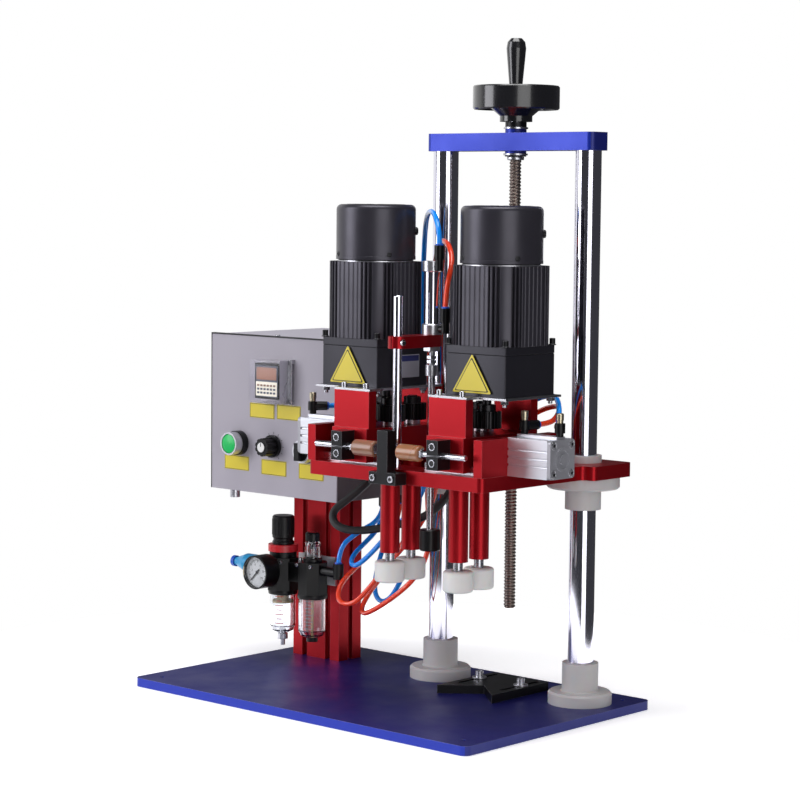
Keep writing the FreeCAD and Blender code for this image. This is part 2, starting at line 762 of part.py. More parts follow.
# Round fan cover with a soft top edge and a ring of air slots
def fan_cover(side):
    z0 = MOTOR_Z + GEARBOX_H + GEAR_FLANGE_H + MOTOR_BODY_H
    seam = rod(COVER_D - 7, V(MOTOR_U, UNIT_Y, z0), COVER_SEAM)
    cup = rod(COVER_D, V(MOTOR_U, UNIT_Y, z0 + COVER_SEAM), COVER_H)
    top = [e for e in cup.Edges if e.BoundBox.ZMin > z0 + COVER_SEAM + COVER_H - 0.1]
    cup = cup.makeFillet(6, top)
    ceiling = z0 + COVER_SEAM + COVER_H
    for i in range(12):
        slot = box(14, 34, -1.5, 1.5, ceiling - 2.5, ceiling + 1)
        slot.rotate(V(0, 0, 0), Z_AXIS, 30 * i)
        slot.translate(V(MOTOR_U, UNIT_Y, 0))
        cup = cup.cut(slot)
    return on_side(cup.fuse(seam).removeSplitter(), side)


# Red bearing sleeves that carry the spindles down to the grip wheels
def spindle_sleeves(side):
    sleeves = []
    for end in ("front", "back"):
        start = V(0, spindle_y(end), SLEEVE_LOW_Z)
        sleeve = tube(SLEEVE_D, SHAFT_D + 2 * GAP, start, BLOCK_TOP_Z - SLEEVE_LOW_Z)
        sleeves.append(on_side(sleeve, side))
    return sleeves


def gear(x, y, phase, bore):
    # Spur gear with straight-sided teeth and a hub above them
    root = PITCH_D / 2 - 1.25 * GEAR_MODULE
    tip = PITCH_D / 2 + GEAR_MODULE * 0.92
    pitch = 2 * math.pi / GEAR_TEETH
    points = []
    for i in range(GEAR_TEETH):
        centre = math.radians(phase) + i * pitch
        for share, radius in ((-0.33, root), (-0.115, tip), (0.115, tip), (0.33, root)):
            angle = centre + share * pitch
            points.append((x + radius * math.cos(angle), y + radius * math.sin(angle)))
    teeth = prism(points, GEAR_Z, GEAR_H - 7)
    hub = rod(20, V(x, y, GEAR_Z + GEAR_H - 7), 7)
    return teeth.fuse(hub).cut(rod(bore, V(x, y, GEAR_Z), GEAR_H))


def mesh_phase(end):
    # Angle of one tooth so that the spindle gear meshes with the pinion's tooth at 0
    line = math.degrees(math.atan2(spindle_y(end) - UNIT_Y, -PINION_U))
    return 2 * line + 180 + 180 / GEAR_TEETH


def spindle_gear(side, end):
    return on_side(gear(0, spindle_y(end), mesh_phase(end), SHAFT_D), side)


def spindle_shaft(side, end):
    y = spindle_y(end)
    low = GRIP_TOP_Z - GRIP_H + 3
    shaft = rod(SHAFT_D, V(0, y, low), GEAR_Z + GEAR_H + 1.5 - low)
    washer = rod(SHAFT_D + 8, V(0, y, BLOCK_TOP_Z + GAP), GEAR_LIFT - GAP)
    return on_side(shaft.fuse(washer).removeSplitter(), side)


# Soft grip wheel with rounded rims and a recess round its shaft
def grip_wheel(side, end):
    low = GRIP_TOP_Z - GRIP_H
    r = GRIP_D / 2
    wheel = rod(GRIP_D, V(0, spindle_y(end), low), GRIP_H)
    wheel = wheel.makeFillet(3, [e for e in wheel.Edges if e.Length > 3 * r and e.BoundBox.ZLength < 0.1])
    wheel = wheel.cut(rod(SHAFT_D + 5, V(0, spindle_y(end), GRIP_TOP_Z - 1.5), 2))
    wheel = wheel.cut(rod(SHAFT_D + 5, V(0, spindle_y(end), low - 1), 4))
    return on_side(wheel.cut(rod(SHAFT_D, V(0, spindle_y(end), low), GRIP_H)), side)


# Drive pinion on the gearhead's offset shaft
def drive_pinion(side):
    return on_side(gear(PINION_U, UNIT_Y, 0, PINION_SHAFT_D), side)


def pinion_shaft(side):
    low = GEAR_Z + 1
    shaft = rod(PINION_SHAFT_D, V(PINION_U, UNIT_Y, low), MOTOR_Z + 29 - low)
    return on_side(shaft, side)


# Piston rod with its coupling flange against the carriage block
def piston_rod(side):
    start = V(BLOCK_OUT, CYLINDER_Y, CYLINDER_Z)
    length = bracket_u(side) + BRACKET_T + CYLINDER_L - 8 - TRAVEL_OUT - 2 - BLOCK_OUT
    flange = rod(COUPLING_D, start, COUPLING_T, X_AXIS)
    return on_side(flange.fuse(rod(ROD_D, start, length, X_AXIS)).removeSplitter(), side)


# Black clamp block on the carriage's front, split above the stop screw
def stop_clamp(side):
    y1 = UNIT_Y - BLOCK_DEPTH / 2 - 2.3
    y0 = y1 - CLAMP_DEPTH
    block = box(CLAMP_IN, CLAMP_IN + CLAMP_W, y0, y1, CLAMP_LOW_Z, CLAMP_LOW_Z + CLAMP_H)
    bore = rod(STOP_ROD_D + 0.4, V(CLAMP_IN, y1 - STOP_ROD_DROP, STOP_ROD_Z), CLAMP_W, X_AXIS)
    slit = box(CLAMP_IN, CLAMP_IN + CLAMP_W, y0, y1 - STOP_ROD_DROP, STOP_ROD_Z - 0.6, STOP_ROD_Z + 0.6)
    return on_side(block.cut(bore).cut(slit), side)


def bumper_tip(side):
    return BUMPER_TIP_RIGHT if side == "right" else BUMPER_TIP_LEFT


def stop_rod_y():
    return UNIT_Y - BLOCK_DEPTH / 2 - 2.3 - STOP_ROD_DROP


# Threaded stop rod with a lock nut near the clamp
def stop_screw(side):
    u0 = bumper_tip(side) + 8
    start = V(u0, stop_rod_y(), STOP_ROD_Z)
    screw = rod(STOP_ROD_D, start, STOP_TAIL - u0, X_AXIS)
    ends = [e for e in screw.Edges if e.BoundBox.XLength < 0.1]
    screw = screw.makeChamfer(0.8, ends)
    nut_u = bumper_tip(side) + BUMPER_L
    nut = hexagon(11, V(nut_u, stop_rod_y(), STOP_ROD_Z), 3.5, X_AXIS)
    return on_side(screw.fuse(nut).removeSplitter(), side)


# Polyurethane bumper on the inner end of the stop rod
def bumper(side):
    u0 = bumper_tip(side)
    body = rod(BUMPER_D, V(u0, stop_rod_y(), STOP_ROD_Z), BUMPER_L, X_AXIS)
    ends = [e for e in body.Edges if e.BoundBox.XLength < 0.1]
    body = body.makeFillet(2.5, ends)
    hole = rod(STOP_ROD_D, V(u0 + 8, stop_rod_y(), STOP_ROD_Z), BUMPER_L - 8, X_AXIS)
    return on_side(body.cut(hole), side)


# Inverted T block screwed to the front edge of the head plate
def stop_block():
    y1 = HEAD_FRONT_Y
    y0 = y1 - STOP_DEPTH
    half = STOP_BASE_W / 2
    foot = box(STOP_X - half, STOP_X + half, y0, y1, HEAD_Z, HEAD_Z + STOP_BASE_H)
    stem = box(STOP_X - STOP_STEM_W / 2, STOP_X + STOP_STEM_W / 2, y0, y0 + STOP_STEM_D,
               HEAD_Z, STOP_TOP_Z)
    return foot.fuse(stem).removeSplitter()


def press_post():
    post = rod(POST_ROD_D, V(POST_ROD_X, POST_ROD_Y, HEAD_Z), POST_ROD_TOP - HEAD_Z)
    top = [e for e in post.Edges if e.BoundBox.ZMin > POST_ROD_TOP - 0.1]
    return post.makeChamfer(0.8, top)


# Arm clamped on the post by a slit end, with the small cylinder's nose hole
def press_arm():
    half = ARM_W / 2
    bar = box(POST_ROD_X - half, POST_ROD_X + half, POST_ROD_Y, PRESS_Y, ARM_Z, ARM_Z + ARM_T)
    front = rod(ARM_W, V(POST_ROD_X, POST_ROD_Y, ARM_Z), ARM_T)
    back = rod(ARM_W, V(POST_ROD_X, PRESS_Y, ARM_Z), ARM_T)
    arm = bar.fuse([front, back]).removeSplitter()
    arm = arm.cut(rod(POST_ROD_D + 2 * GAP, V(POST_ROD_X, POST_ROD_Y, ARM_Z), ARM_T))
    arm = arm.cut(rod(PRESS_NOSE_D, V(POST_ROD_X, PRESS_Y, ARM_Z), ARM_T))
    slit = box(POST_ROD_X - 0.8, POST_ROD_X + 0.8, POST_ROD_Y - ARM_W, POST_ROD_Y, ARM_Z, ARM_Z + ARM_T)
    return arm.cut(slit)


# Small round cylinder: two end caps, tube and a threaded nose with its nut
def press_cylinder():
    z0 = ARM_Z + ARM_T
    z1 = z0 + PRESS_CAP_H
    z2 = z1 + PRESS_TUBE_H
    z3 = z2 + PRESS_CAP_H
    tube_r = PRESS_TUBE_D / 2
    cap_r = PRESS_CAP_D / 2
    bore = PISTON_D / 2 + GAP
    nose = PRESS_NOSE_D / 2
    profile = [
        (bore, ARM_Z - 6),
        (nose, ARM_Z - 6),
        (nose, z0),
        (cap_r, z0),
        (cap_r, z1 - 1),
        (cap_r - 1, z1),
        (tube_r, z1),
        (tube_r, z2),
        (cap_r - 1, z2),
        (cap_r, z2 + 1),
        (cap_r, z3),
        (0, z3),
        (0, z2 - 6),
        (bore, z2 - 6),
    ]
    body = turned(profile, POST_ROD_X, PRESS_Y)
    nut = hexagon(17, V(POST_ROD_X, PRESS_Y, ARM_Z - 5), 5)
    return body.fuse(nut.cut(rod(PRESS_NOSE_D, V(POST_ROD_X, PRESS_Y, ARM_Z - 5), 5))).removeSplitter()


def press_port(place):
    # Centre of the upright hose socket of each fitting
    z1 = ARM_Z + ARM_T + PRESS_CAP_H
    if place == "low":
        return V(POST_ROD_X + 19.5, PRESS_Y, z1 - PRESS_CAP_H / 2)
    return V(POST_ROD_X + 15.4, PRESS_Y - 6.6, z1 + PRESS_TUBE_H + PRESS_CAP_H / 2)


# Elbow fittings on the small cylinder's caps
def press_elbow(place):
    spot = press_port(place)
    centre = V(POST_ROD_X, PRESS_Y, spot.z)
    way = spot - centre
    reach = way.Length
    way.normalize()
    stub = rod(8, centre + way * (PRESS_CAP_D / 2), reach - PRESS_CAP_D / 2, way)
    knee = rod(9, spot - V(0, 0, 4.5), 4.5 + PRESS_SOCKET_RISE)
    socket = rod(11.5, spot + V(0, 0, PRESS_SOCKET_RISE), 16)
    mouth = rod(HOSE_D, spot + V(0, 0, PRESS_SOCKET_RISE + 8), 9)
    return stub.fuse([knee, socket]).removeSplitter().cut(mouth)


# Piston rod, lock nuts, floating joint and the long push rod
def press_rod():
    top = ARM_Z - 10
    joint = top - 22
    piston = rod(PISTON_D, V(POST_ROD_X, PRESS_Y, joint), ARM_Z + ARM_T + PRESS_CAP_H + PRESS_TUBE_H - 8 - joint)
    nuts = [hexagon(10, V(POST_ROD_X, PRESS_Y, top - 4), 3.5), hexagon(10, V(POST_ROD_X, PRESS_Y, top - 9), 3.5)]
    float_joint = rod(14.5, V(POST_ROD_X, PRESS_Y, joint - 1), 12)
    pad_top = PRESS_PAD_Z + PRESS_PAD_H
    push = rod(PRESS_ROD_D, V(POST_ROD_X, PRESS_Y, pad_top - 8), joint - pad_top + 8)
    return piston.fuse(nuts + [float_joint, push]).removeSplitter()


def press_pad():
    z1 = PRESS_PAD_Z + PRESS_PAD_H
    pad = rod(PRESS_PAD_D, V(POST_ROD_X, PRESS_Y, PRESS_PAD_Z), PRESS_PAD_H)
    rims = [e for e in pad.Edges if e.BoundBox.ZLength < 0.1]
    pad = pad.makeChamfer(1.2, rims)
    return pad.cut(rod(PRESS_ROD_D, V(POST_ROD_X, PRESS_Y, z1 - 8), 8))


# Aluminium T-slot profile, two slots on each wide face and one on each side
def box_post():
    body = box(PROFILE_X - PROFILE_W / 2, PROFILE_X + PROFILE_W / 2,
               PROFILE_Y - PROFILE_D / 2, PROFILE_Y + PROFILE_D / 2, BASE_THICK, BOX_LOW_Z)
    height = BOX_LOW_Z - BASE_THICK
    slot = box(-PROFILE_SLOT / 2, PROFILE_SLOT / 2, -1, PROFILE_LIP, 0, height)
    hollow = prism([(-PROFILE_T_W / 2, PROFILE_LIP), (PROFILE_T_W / 2, PROFILE_LIP),
                    (PROFILE_T_W / 2, PROFILE_LIP + 2.5), (PROFILE_T_W / 4, PROFILE_LIP + PROFILE_T_H),
                    (-PROFILE_T_W / 4, PROFILE_LIP + PROFILE_T_H), (-PROFILE_T_W / 2, PROFILE_LIP + 2.5)],
                   0, height)
    cutter = slot.fuse(hollow).removeSplitter()
    quarter = PROFILE_W / 4
    for x, y, turn in ((-quarter, -PROFILE_D / 2, 0), (quarter, -PROFILE_D / 2, 0),
                       (-quarter, PROFILE_D / 2, 180), (quarter, PROFILE_D / 2, 180),
                       (PROFILE_W / 2, 0, 90), (-PROFILE_W / 2, 0, -90)):
        tool = cutter.copy()
        tool.rotate(V(0, 0, 0), Z_AXIS, turn)
        tool.translate(V(PROFILE_X + x, PROFILE_Y + y, BASE_THICK))
        body = body.cut(tool)
    for x in (-quarter, quarter):
        body = body.cut(rod(PROFILE_BORE, V(PROFILE_X + x, PROFILE_Y, BASE_THICK), height))
    return body


def panel_spot(x, z):
    # Point on the panel's front face, from the panel's lower left corner
    return V(BOX_LEFT_X + x, BOX_FRONT_Y - PANEL_T, BOX_LOW_Z + z)


# Folded sheet box, open at the front
def box_shell():
    x0, x1 = BOX_LEFT_X, BOX_LEFT_X + BOX_WIDTH
    y0, y1 = BOX_FRONT_Y, BOX_FRONT_Y + BOX_DEPTH
    z0, z1 = BOX_LOW_Z, BOX_LOW_Z + BOX_H
    shell = box(x0, x1, y0, y1, z0, z1)
    t = BOX_SHEET
    return shell.cut(box(x0 + t, x1 - t, y0, y1 - t, z0 + t, z1 - t))


# Front panel with holes for its controls
def box_panel():
    x0 = BOX_LEFT_X
    panel = box(x0, x0 + BOX_WIDTH, BOX_FRONT_Y - PANEL_T, BOX_FRONT_Y, BOX_LOW_Z, BOX_LOW_Z + BOX_H)
    for x, d in ((POWER_X, 14), (TORQUE_X, 7), (SELECT_X, 14)):
        panel = panel.cut(rod(d, panel_spot(x, CONTROL_Z), PANEL_T, Y_AXIS))
    return panel


# Black edging along the panel's top and left edges
def box_trim():
    x0 = BOX_LEFT_X
    z1 = BOX_LOW_Z + BOX_H
    y0, y1 = BOX_FRONT_Y - PANEL_T - 0.5, BOX_FRONT_Y + 4
    top = box(x0 - 1.2, x0 + BOX_WIDTH, y0, y1, z1, z1 + 1.6)
    left = box(x0 - 1.2, x0, y0, y1, BOX_LOW_Z, z1)
    return top.fuse(left).removeSplitter()


def button_bezel(x):
    # Collar and ring of a panel control, with a well for its moving cap
    spot = panel_spot(x, CONTROL_Z)
    front = -Y_AXIS
    collar = rod(BEZEL_COLLAR_D, spot, BEZEL_LEN * 0.45, front)
    ring = rod(BEZEL_D, spot, BEZEL_LEN, front)
    barrel = rod(14, spot, 12, Y_AXIS)
    well = rod(BUTTON_D + 2 * GAP, spot + front * 8, BEZEL_LEN, front)
    stem = rod(8 + 2 * GAP, spot + V(0, 10, 0), 40, front)
    return collar.fuse([ring, barrel]).removeSplitter().cut(well).cut(stem)


def power_button():
    spot = panel_spot(POWER_X, CONTROL_Z)
    front = -Y_AXIS
    floor = 8 + BUTTON_STROKE + 1
    cap = rod(BUTTON_D, spot + front * floor, BEZEL_LEN - 1 - floor, front)
    stem = rod(8, spot + V(0, 5, 0), 5 + floor, front)
    return cap.fuse(stem).removeSplitter()


# Selector with a raised finger bar
def selector_knob():
    spot = panel_spot(SELECT_X, CONTROL_Z)
    front = -Y_AXIS
    disc = rod(BUTTON_D, spot + front * 9, BEZEL_LEN - 8.5, front)
    stem = rod(8, spot + V(0, 5, 0), 14, front)
    bar = box(spot.x - 4, spot.x + 4, spot.y - BEZEL_LEN - 8, spot.y - BEZEL_LEN + 1,
              spot.z - BUTTON_D / 2 + 1, spot.z + BUTTON_D / 2 - 1)
    return disc.fuse([stem, bar]).removeSplitter()


# Fluted torque knob on its shaft
def torque_knob():
    spot = panel_spot(TORQUE_X, CONTROL_Z)
    front = -Y_AXIS
    skirt = rod(KNOB_SKIRT_D, spot + front * 1, 4, front)
    body = rod(KNOB_D, spot + front * 5, KNOB_LEN - 5, front)
    for i in range(KNOB_FLUTES):
        angle = 2 * math.pi * i / KNOB_FLUTES
        r = KNOB_D / 2 + 0.6
        start = spot + front * 5 + V(r * math.cos(angle), 0, r * math.sin(angle))
        body = body.cut(rod(3.6, start, KNOB_LEN - 5, front))
    shaft = rod(6, spot + V(0, 8, 0), 9, front)
    knob = body.fuse([skirt, shaft]).removeSplitter()
    return knob.cut(rod(KNOB_D - 7, spot + front * (KNOB_LEN - 1), 1, front))


def knob_cap():
    spot = panel_spot(TORQUE_X, CONTROL_Z)
    return rod(KNOB_D - 7, spot - Y_AXIS * (KNOB_LEN - 1), 1.3, -Y_AXIS)


# Square panel timer standing proud of the panel
def timer_body():
    spot = panel_spot(TIMER_X, TIMER_Z)
    half = TIMER_W / 2
    case = box(spot.x - half, spot.x + half, spot.y - TIMER_LEN, spot.y, spot.z - half, spot.z + half)
    edges = [e for e in case.Edges if e.BoundBox.YMax < spot.y - TIMER_LEN + 0.1]
    case = case.makeChamfer(1, edges)
    hinge = tube(4.4, 2.2, V(hinge_x(), hinge_y(), spot.z - 27.5), 5)
    hinge_top = tube(4.4, 2.2, V(hinge_x(), hinge_y(), spot.z + 22.5), 5)
    plate_x = hinge_x() - 2.2
    leaves = []
    for z in (spot.z - 27.5, spot.z + 22.5):
        leaves.append(box(plate_x, plate_x + 4.4, hinge_y() + 1.6, spot.y, z, z + 5))
    return [case, hinge.fuse(leaves[0]).removeSplitter(), hinge_top.fuse(leaves[1]).removeSplitter()]


def hinge_x():
    return panel_spot(TIMER_X, TIMER_Z).x + TIMER_COVER_W / 2 + 2.6


def hinge_y():
    return panel_spot(TIMER_X, TIMER_Z).y - 4


# Clear cover that swings on a side hinge in front of the timer
def timer_cover():
    spot = panel_spot(TIMER_X, TIMER_Z)
    half = TIMER_COVER_W / 2
    t = TIMER_COVER_T
    y1 = spot.y - 0.6
    y0 = spot.y - TIMER_COVER_LEN
    case = box(spot.x - half, spot.x + half, y0, y1, spot.z - half, spot.z + half)
    hollow = box(spot.x - half + t, spot.x + half - t, y0 + t, y1 + 1, spot.z - half + t, spot.z + half - t)
    cover = case.cut(hollow)
    pin = rod(1.8, V(hinge_x(), hinge_y(), spot.z - 27), 54)
    knuckle = rod(4, V(hinge_x(), hinge_y(), spot.z - 21), 42)
    web = box(spot.x + half - 0.5, hinge_x(), hinge_y() - 1.6, hinge_y() + 1.2, spot.z - 21, spot.z + 21)
    return cover.fuse([pin, knuckle, web]).removeSplitter()


# Short metal gland under the control box
def box_gland():
    nut = hexagon(16, V(GLAND_X, GLAND_Y, BOX_LOW_Z - 4), 4)
    neck = rod(GLAND_D, V(GLAND_X, GLAND_Y, BOX_LOW_Z - GLAND_DROP), GLAND_DROP - 4)
    return nut.fuse(neck).removeSplitter().cut(rod(6, V(GLAND_X, GLAND_Y, BOX_LOW_Z - GLAND_DROP), 9))


# Cable gland on the box's right side where the motor cable comes out
def side_gland():
    x1 = BOX_LEFT_X + BOX_WIDTH
    nut = hexagon(17, V(x1, CABLE_EXIT_Y, CABLE_EXIT_Z), 5, X_AXIS)
    neck = rod(14, V(x1 + 5, CABLE_EXIT_Y, CABLE_EXIT_Z), 9, X_AXIS)
    gland = nut.fuse(neck).removeSplitter()
    return gland.cut(rod(CABLE_D, V(x1 + 4, CABLE_EXIT_Y, CABLE_EXIT_Z), 10, X_AXIS))


def eight_sided(x, width, z0, z1):
    # Upright octagonal body centred on the air set's line
    r = width / 2 / math.cos(math.pi / 8)
    points = []
    for i in range(8):
        angle = math.pi / 8 + i * math.pi / 4
        points.append((x + r * math.cos(angle), AIR_Y + r * math.sin(angle)))
    return prism(points, z0, z1 - z0)


# One black casting: filter regulator body, lubricator body and the joint between them
def air_body():
    left = eight_sided(FILTER_X, AIR_BODY_W, AIR_BODY_LOW, AIR_BODY_TOP)
    neck = rod(AIR_NECK_D, V(FILTER_X, AIR_Y, AIR_BODY_TOP), AIR_RING_Z - AIR_BODY_TOP)
    right = eight_sided(LUBE_X, AIR_BODY_W - 2, AIR_BODY_LOW, AIR_BODY_TOP - 1)
    link = box(FILTER_X, LUBE_X, AIR_Y - 9, AIR_Y + 9, GAUGE_Z - 13, GAUGE_Z + 11)
    body = left.fuse([neck, right, link]).removeSplitter()
    for x, d in ((FILTER_X, FILTER_BOWL_D), (LUBE_X, LUBE_BOWL_D)):
        body = body.cut(rod(d, V(x, AIR_Y, AIR_BODY_LOW), 6))
    return body.cut(rod(8.4, V(FILTER_X, AIR_Y, AIR_RING_Z - 12), 12))


# Steel bracket that holds the air set on the profile post
def air_bracket():
    x = (FILTER_X + LUBE_X) / 2
    back = PROFILE_Y - PROFILE_D / 2
    plate = box(x - 32, x + 32, back - 3, back, GAUGE_Z - 20, GAUGE_Z + 16)
    bodies_back = AIR_Y + AIR_BODY_W / 2 + GAP
    arm = box(x - 13, x + 13, bodies_back, back - 3, GAUGE_Z - 11, GAUGE_Z + 9)
    x0 = FILTER_X + AIR_BODY_W / 2 + GAP
    x1 = LUBE_X - AIR_BODY_W / 2 + 1 - GAP
    tongue = box(x0, x1, AIR_Y + 9, bodies_back, GAUGE_Z - 11, GAUGE_Z + 9)
    return plate.fuse([arm, tongue]).removeSplitter()


def bowl(x, diameter):
    # Clear bowl with a rounded foot, open inside
    r = diameter / 2
    top = AIR_BODY_LOW + 6
    low = BOWL_LOW_Z
    w = BOWL_WALL
    profile = [
        (r - w, top),
        (r, top),
        (r, low + 9),
        (r - 3, low + 3),
        (r - 9, low),
        (4.2, low),
        (4.2, low + w),
        (r - 9, low + w),
        (r - 3 - w * 0.8, low + 3 + w * 0.8),
        (r - w, low + 10),
    ]
    return turned(profile, x, AIR_Y)


# Filter core with its baffle disc inside the left bowl
def filter_core():
    core = rod(15, V(FILTER_X, AIR_Y, AIR_BODY_LOW - 13), 19)
    disc = rod(FILTER_BOWL_D - 2 * BOWL_WALL - 1, V(FILTER_X, AIR_Y, AIR_BODY_LOW - 16), 3)
    return core.fuse(disc).removeSplitter()


def red_ring():
    start = V(FILTER_X, AIR_Y, AIR_RING_Z)
    return tube(AIR_RING_D, 8.4, start, AIR_RING_H)


# Pressure knob with a waist near its foot
def regulator_knob():
    z0 = AIR_RING_Z + AIR_RING_H + GAP
    r = REG_KNOB_D / 2
    profile = [
        (0, AIR_RING_Z - 8), (4, AIR_RING_Z - 8), (4, z0), (r, z0), (r, z0 + 3), (r - 1.3, z0 + 4.5),
        (r - 1.3, z0 + 7), (r, z0 + 8.5), (r, REG_KNOB_TOP - 1.5), (r - 1.5, REG_KNOB_TOP), (0, REG_KNOB_TOP),
    ]
    return turned(profile, FILTER_X, AIR_Y)


# Gauge case with a well for the dial and a stem into the body
def gauge_case():
    front = V(FILTER_X, GAUGE_FACE_Y, GAUGE_Z)
    case = rod(GAUGE_D, front, GAUGE_DEPTH, Y_AXIS)
    stem = rod(13, front + V(0, GAUGE_DEPTH, 0), AIR_Y - AIR_BODY_W / 2 - GAUGE_FACE_Y - GAUGE_DEPTH, Y_AXIS)
    well = rod(DIAL_D, front, 6, Y_AXIS)
    pin = rod(1.6, front + V(0, 3.2, 0), 3, Y_AXIS)
    return case.fuse(stem).removeSplitter().cut(well).fuse(pin)


def gauge_lens():
    return rod(DIAL_D, V(FILTER_X, GAUGE_FACE_Y + 0.6, GAUGE_Z), 1.4, Y_AXIS)


# Needle on its pin, at the zero mark
def gauge_needle():
    y0 = GAUGE_FACE_Y + 4
    hub = tube(4.2, 2.2, V(FILTER_X, y0, GAUGE_Z), 0.8, Y_AXIS)
    hand = box(-15, -1.6, y0, y0 + 0.8, -0.6, 0.6).fuse(box(1.6, 5, y0, y0 + 0.8, -1.0, 1.0))
    hand.rotate(V(0, 0, 0), Y_AXIS, -45)
    hand.translate(V(FILTER_X, 0, GAUGE_Z))
    return hand.fuse(hub).removeSplitter()


# Drain valve below the filter bowl
def drain_valve():
    low = BOWL_LOW_Z
    profile = [
        (0, low - 16), (3, low - 16), (3, low - 9), (6.5, low - 8), (6.5, low - 1.5), (3.9, low - 0.4),
        (3.9, low + 4.5), (0, low + 4.5),
    ]
    return turned(profile, FILTER_X, AIR_Y)


def lube_plug():
    low = BOWL_LOW_Z
    return turned([(0, low - 5), (7, low - 5), (7, low), (4.2, low), (4.2, low + 3), (0, low + 3)], LUBE_X, AIR_Y)


# Clear sight dome of the lubricator on its black seat
def sight_dome():
    z0 = AIR_BODY_TOP - 1
    r = DOME_D / 2
    profile = [
        (r - 2, z0), (r + 2, z0), (r + 2, z0 + 4.5), (r, z0 + 5), (r, DOME_TOP - 3), (r - 1.5, DOME_TOP),
        (3.4, DOME_TOP), (3.4, DOME_TOP - 2), (r - 3, DOME_TOP - 3.5), (r - 2, DOME_TOP - 6),
    ]
    return turned(profile, LUBE_X, AIR_Y)


def oil_knob():
    z0 = DOME_TOP + GAP
    r = OIL_KNOB_D / 2
    profile = [
        (0, z0 - 10), (2.9, z0 - 10), (2.9, z0), (r, z0), (r, z0 + OIL_KNOB_H - 2), (r - 2, z0 + OIL_KNOB_H),
        (0, z0 + OIL_KNOB_H),
    ]
    return turned(profile, LUBE_X, AIR_Y)


# Inlet adapter and quick coupling at the set's left side
def inlet_adapter():
    x0 = FILTER_X - AIR_BODY_W / 2
    return hexagon(19, V(x0, AIR_Y, GAUGE_Z), 16, -X_AXIS).fuse(
        rod(14, V(x0 - 16, AIR_Y, GAUGE_Z), 6, -X_AXIS)).removeSplitter()


def inlet_coupling():
    x0 = FILTER_X - AIR_BODY_W / 2 - 22
    profile = [(0, 0), (11, 0), (12, 3), (12, 22), (7, 36), (5.5, 36), (5.5, 42), (0, 42)]
    solid = turned(profile, 0, 0)
    solid.Placement = FreeCAD.Placement(V(x0, AIR_Y, GAUGE_Z), FreeCAD.Rotation(Z_AXIS, -X_AXIS))
    return solid


def coupling_ring():
    x0 = FILTER_X - AIR_BODY_W / 2 - 22 - 42
    return tube(14, HOSE_D + 2, V(x0, AIR_Y, GAUGE_Z), 5, -X_AXIS)


# Outlet elbow that the blue supply hose leaves upward
def outlet_elbow():
    x0 = LUBE_X + AIR_BODY_W / 2 - 1
    stub = rod(12, V(x0, AIR_Y, GAUGE_Z + 4), 26, X_AXIS)
    knee = rod(13, V(x0 + 26, AIR_Y, GAUGE_Z - 3), 19)
    mouth = rod(HOSE_D, V(x0 + 26, AIR_Y, GAUGE_Z + 8), 9)
    return stub.fuse(knee).removeSplitter().cut(mouth)


# Bottle guide with a V front and two long fixing slots
def guide_block():
    x0, x1 = GUIDE_X - GUIDE_W / 2, GUIDE_X + GUIDE_W / 2
    low = BASE_THICK + GAP
    block = prism([(x0, GUIDE_FRONT_Y), (GUIDE_X, GUIDE_APEX_Y), (x1, GUIDE_FRONT_Y),
                   (x1, GUIDE_BACK_Y), (x0, GUIDE_BACK_Y)], low, GUIDE_T - GAP)
    half = GUIDE_SLOT_W / 2
    for sx in (-1, 1):
        x = GUIDE_X + sx * GUIDE_SLOT_X
        slot = box(x - half, x + half, GUIDE_SLOT_Y0 + half, GUIDE_SLOT_Y1 - half, low, low + GUIDE_T)
        ends = [rod(GUIDE_SLOT_W, V(x, y, low), GUIDE_T) for y in (GUIDE_SLOT_Y0 + half, GUIDE_SLOT_Y1 - half)]
        block = block.cut(slot.fuse(ends).removeSplitter())
    return block


def guide_bolts():
    bolts = []
    for sx in (-1, 1):
        x = GUIDE_X + sx * GUIDE_SLOT_X
        top = BASE_THICK + GUIDE_T + GAP
        shank = rod(GUIDE_BOLT_D, V(x, GUIDE_BOLT_Y, BASE_THICK), top - BASE_THICK)
        washer = rod(GUIDE_WASHER_D, V(x, GUIDE_BOLT_Y, top), GUIDE_WASHER_T)
        head = rod(GUIDE_HEAD_D, V(x, GUIDE_BOLT_Y, top + GUIDE_WASHER_T), GUIDE_HEAD_H)
        socket = hexagon(5, V(x, GUIDE_BOLT_Y, top + GUIDE_WASHER_T + GUIDE_HEAD_H - 3.5), 4)
        bolts.append(shank.fuse([washer, head]).removeSplitter().cut(socket))
    return bolts


# Push-in ports under the control box
def box_ports():
    ports = []
    for x, y in BOX_PORTS.values():
        body = rod(BOX_PORT_D, V(x, y, BOX_LOW_Z - BOX_PORT_H), BOX_PORT_H)
        ports.append(body.cut(rod(HOSE_D, V(x, y, BOX_LOW_Z - BOX_PORT_H), BOX_PORT_H / 2)))
    return ports


# Hose tee above the head plate's port: one hose from below, one to either side
def hose_tee(y):
    body = rod(11.5, V(TEE_X, y, TEE_Z - 9), 16)
    arms = rod(10.5, V(TEE_X - TEE_REACH, y, TEE_Z), 2 * TEE_REACH, X_AXIS)
    tee = body.fuse(arms).removeSplitter()
    tee = tee.cut(rod(HOSE_D, V(TEE_X, y, TEE_Z - 9), 5))
    for sign in (-1, 1):
        start = V(TEE_X + sign * (TEE_REACH - 5), y, TEE_Z)
        tee = tee.cut(rod(HOSE_D, start, 6, X_AXIS * sign))
    return tee


# Straight union between a lower and an upper hose of the small cylinder
def hose_union(x):
    body = rod(11, V(x, UNION_Y, UNION_Z), UNION_H)
    body = body.cut(rod(HOSE_D, V(x, UNION_Y, UNION_Z), 5))
    return body.cut(rod(HOSE_D, V(x, UNION_Y, UNION_Z + UNION_H - 5), 6))


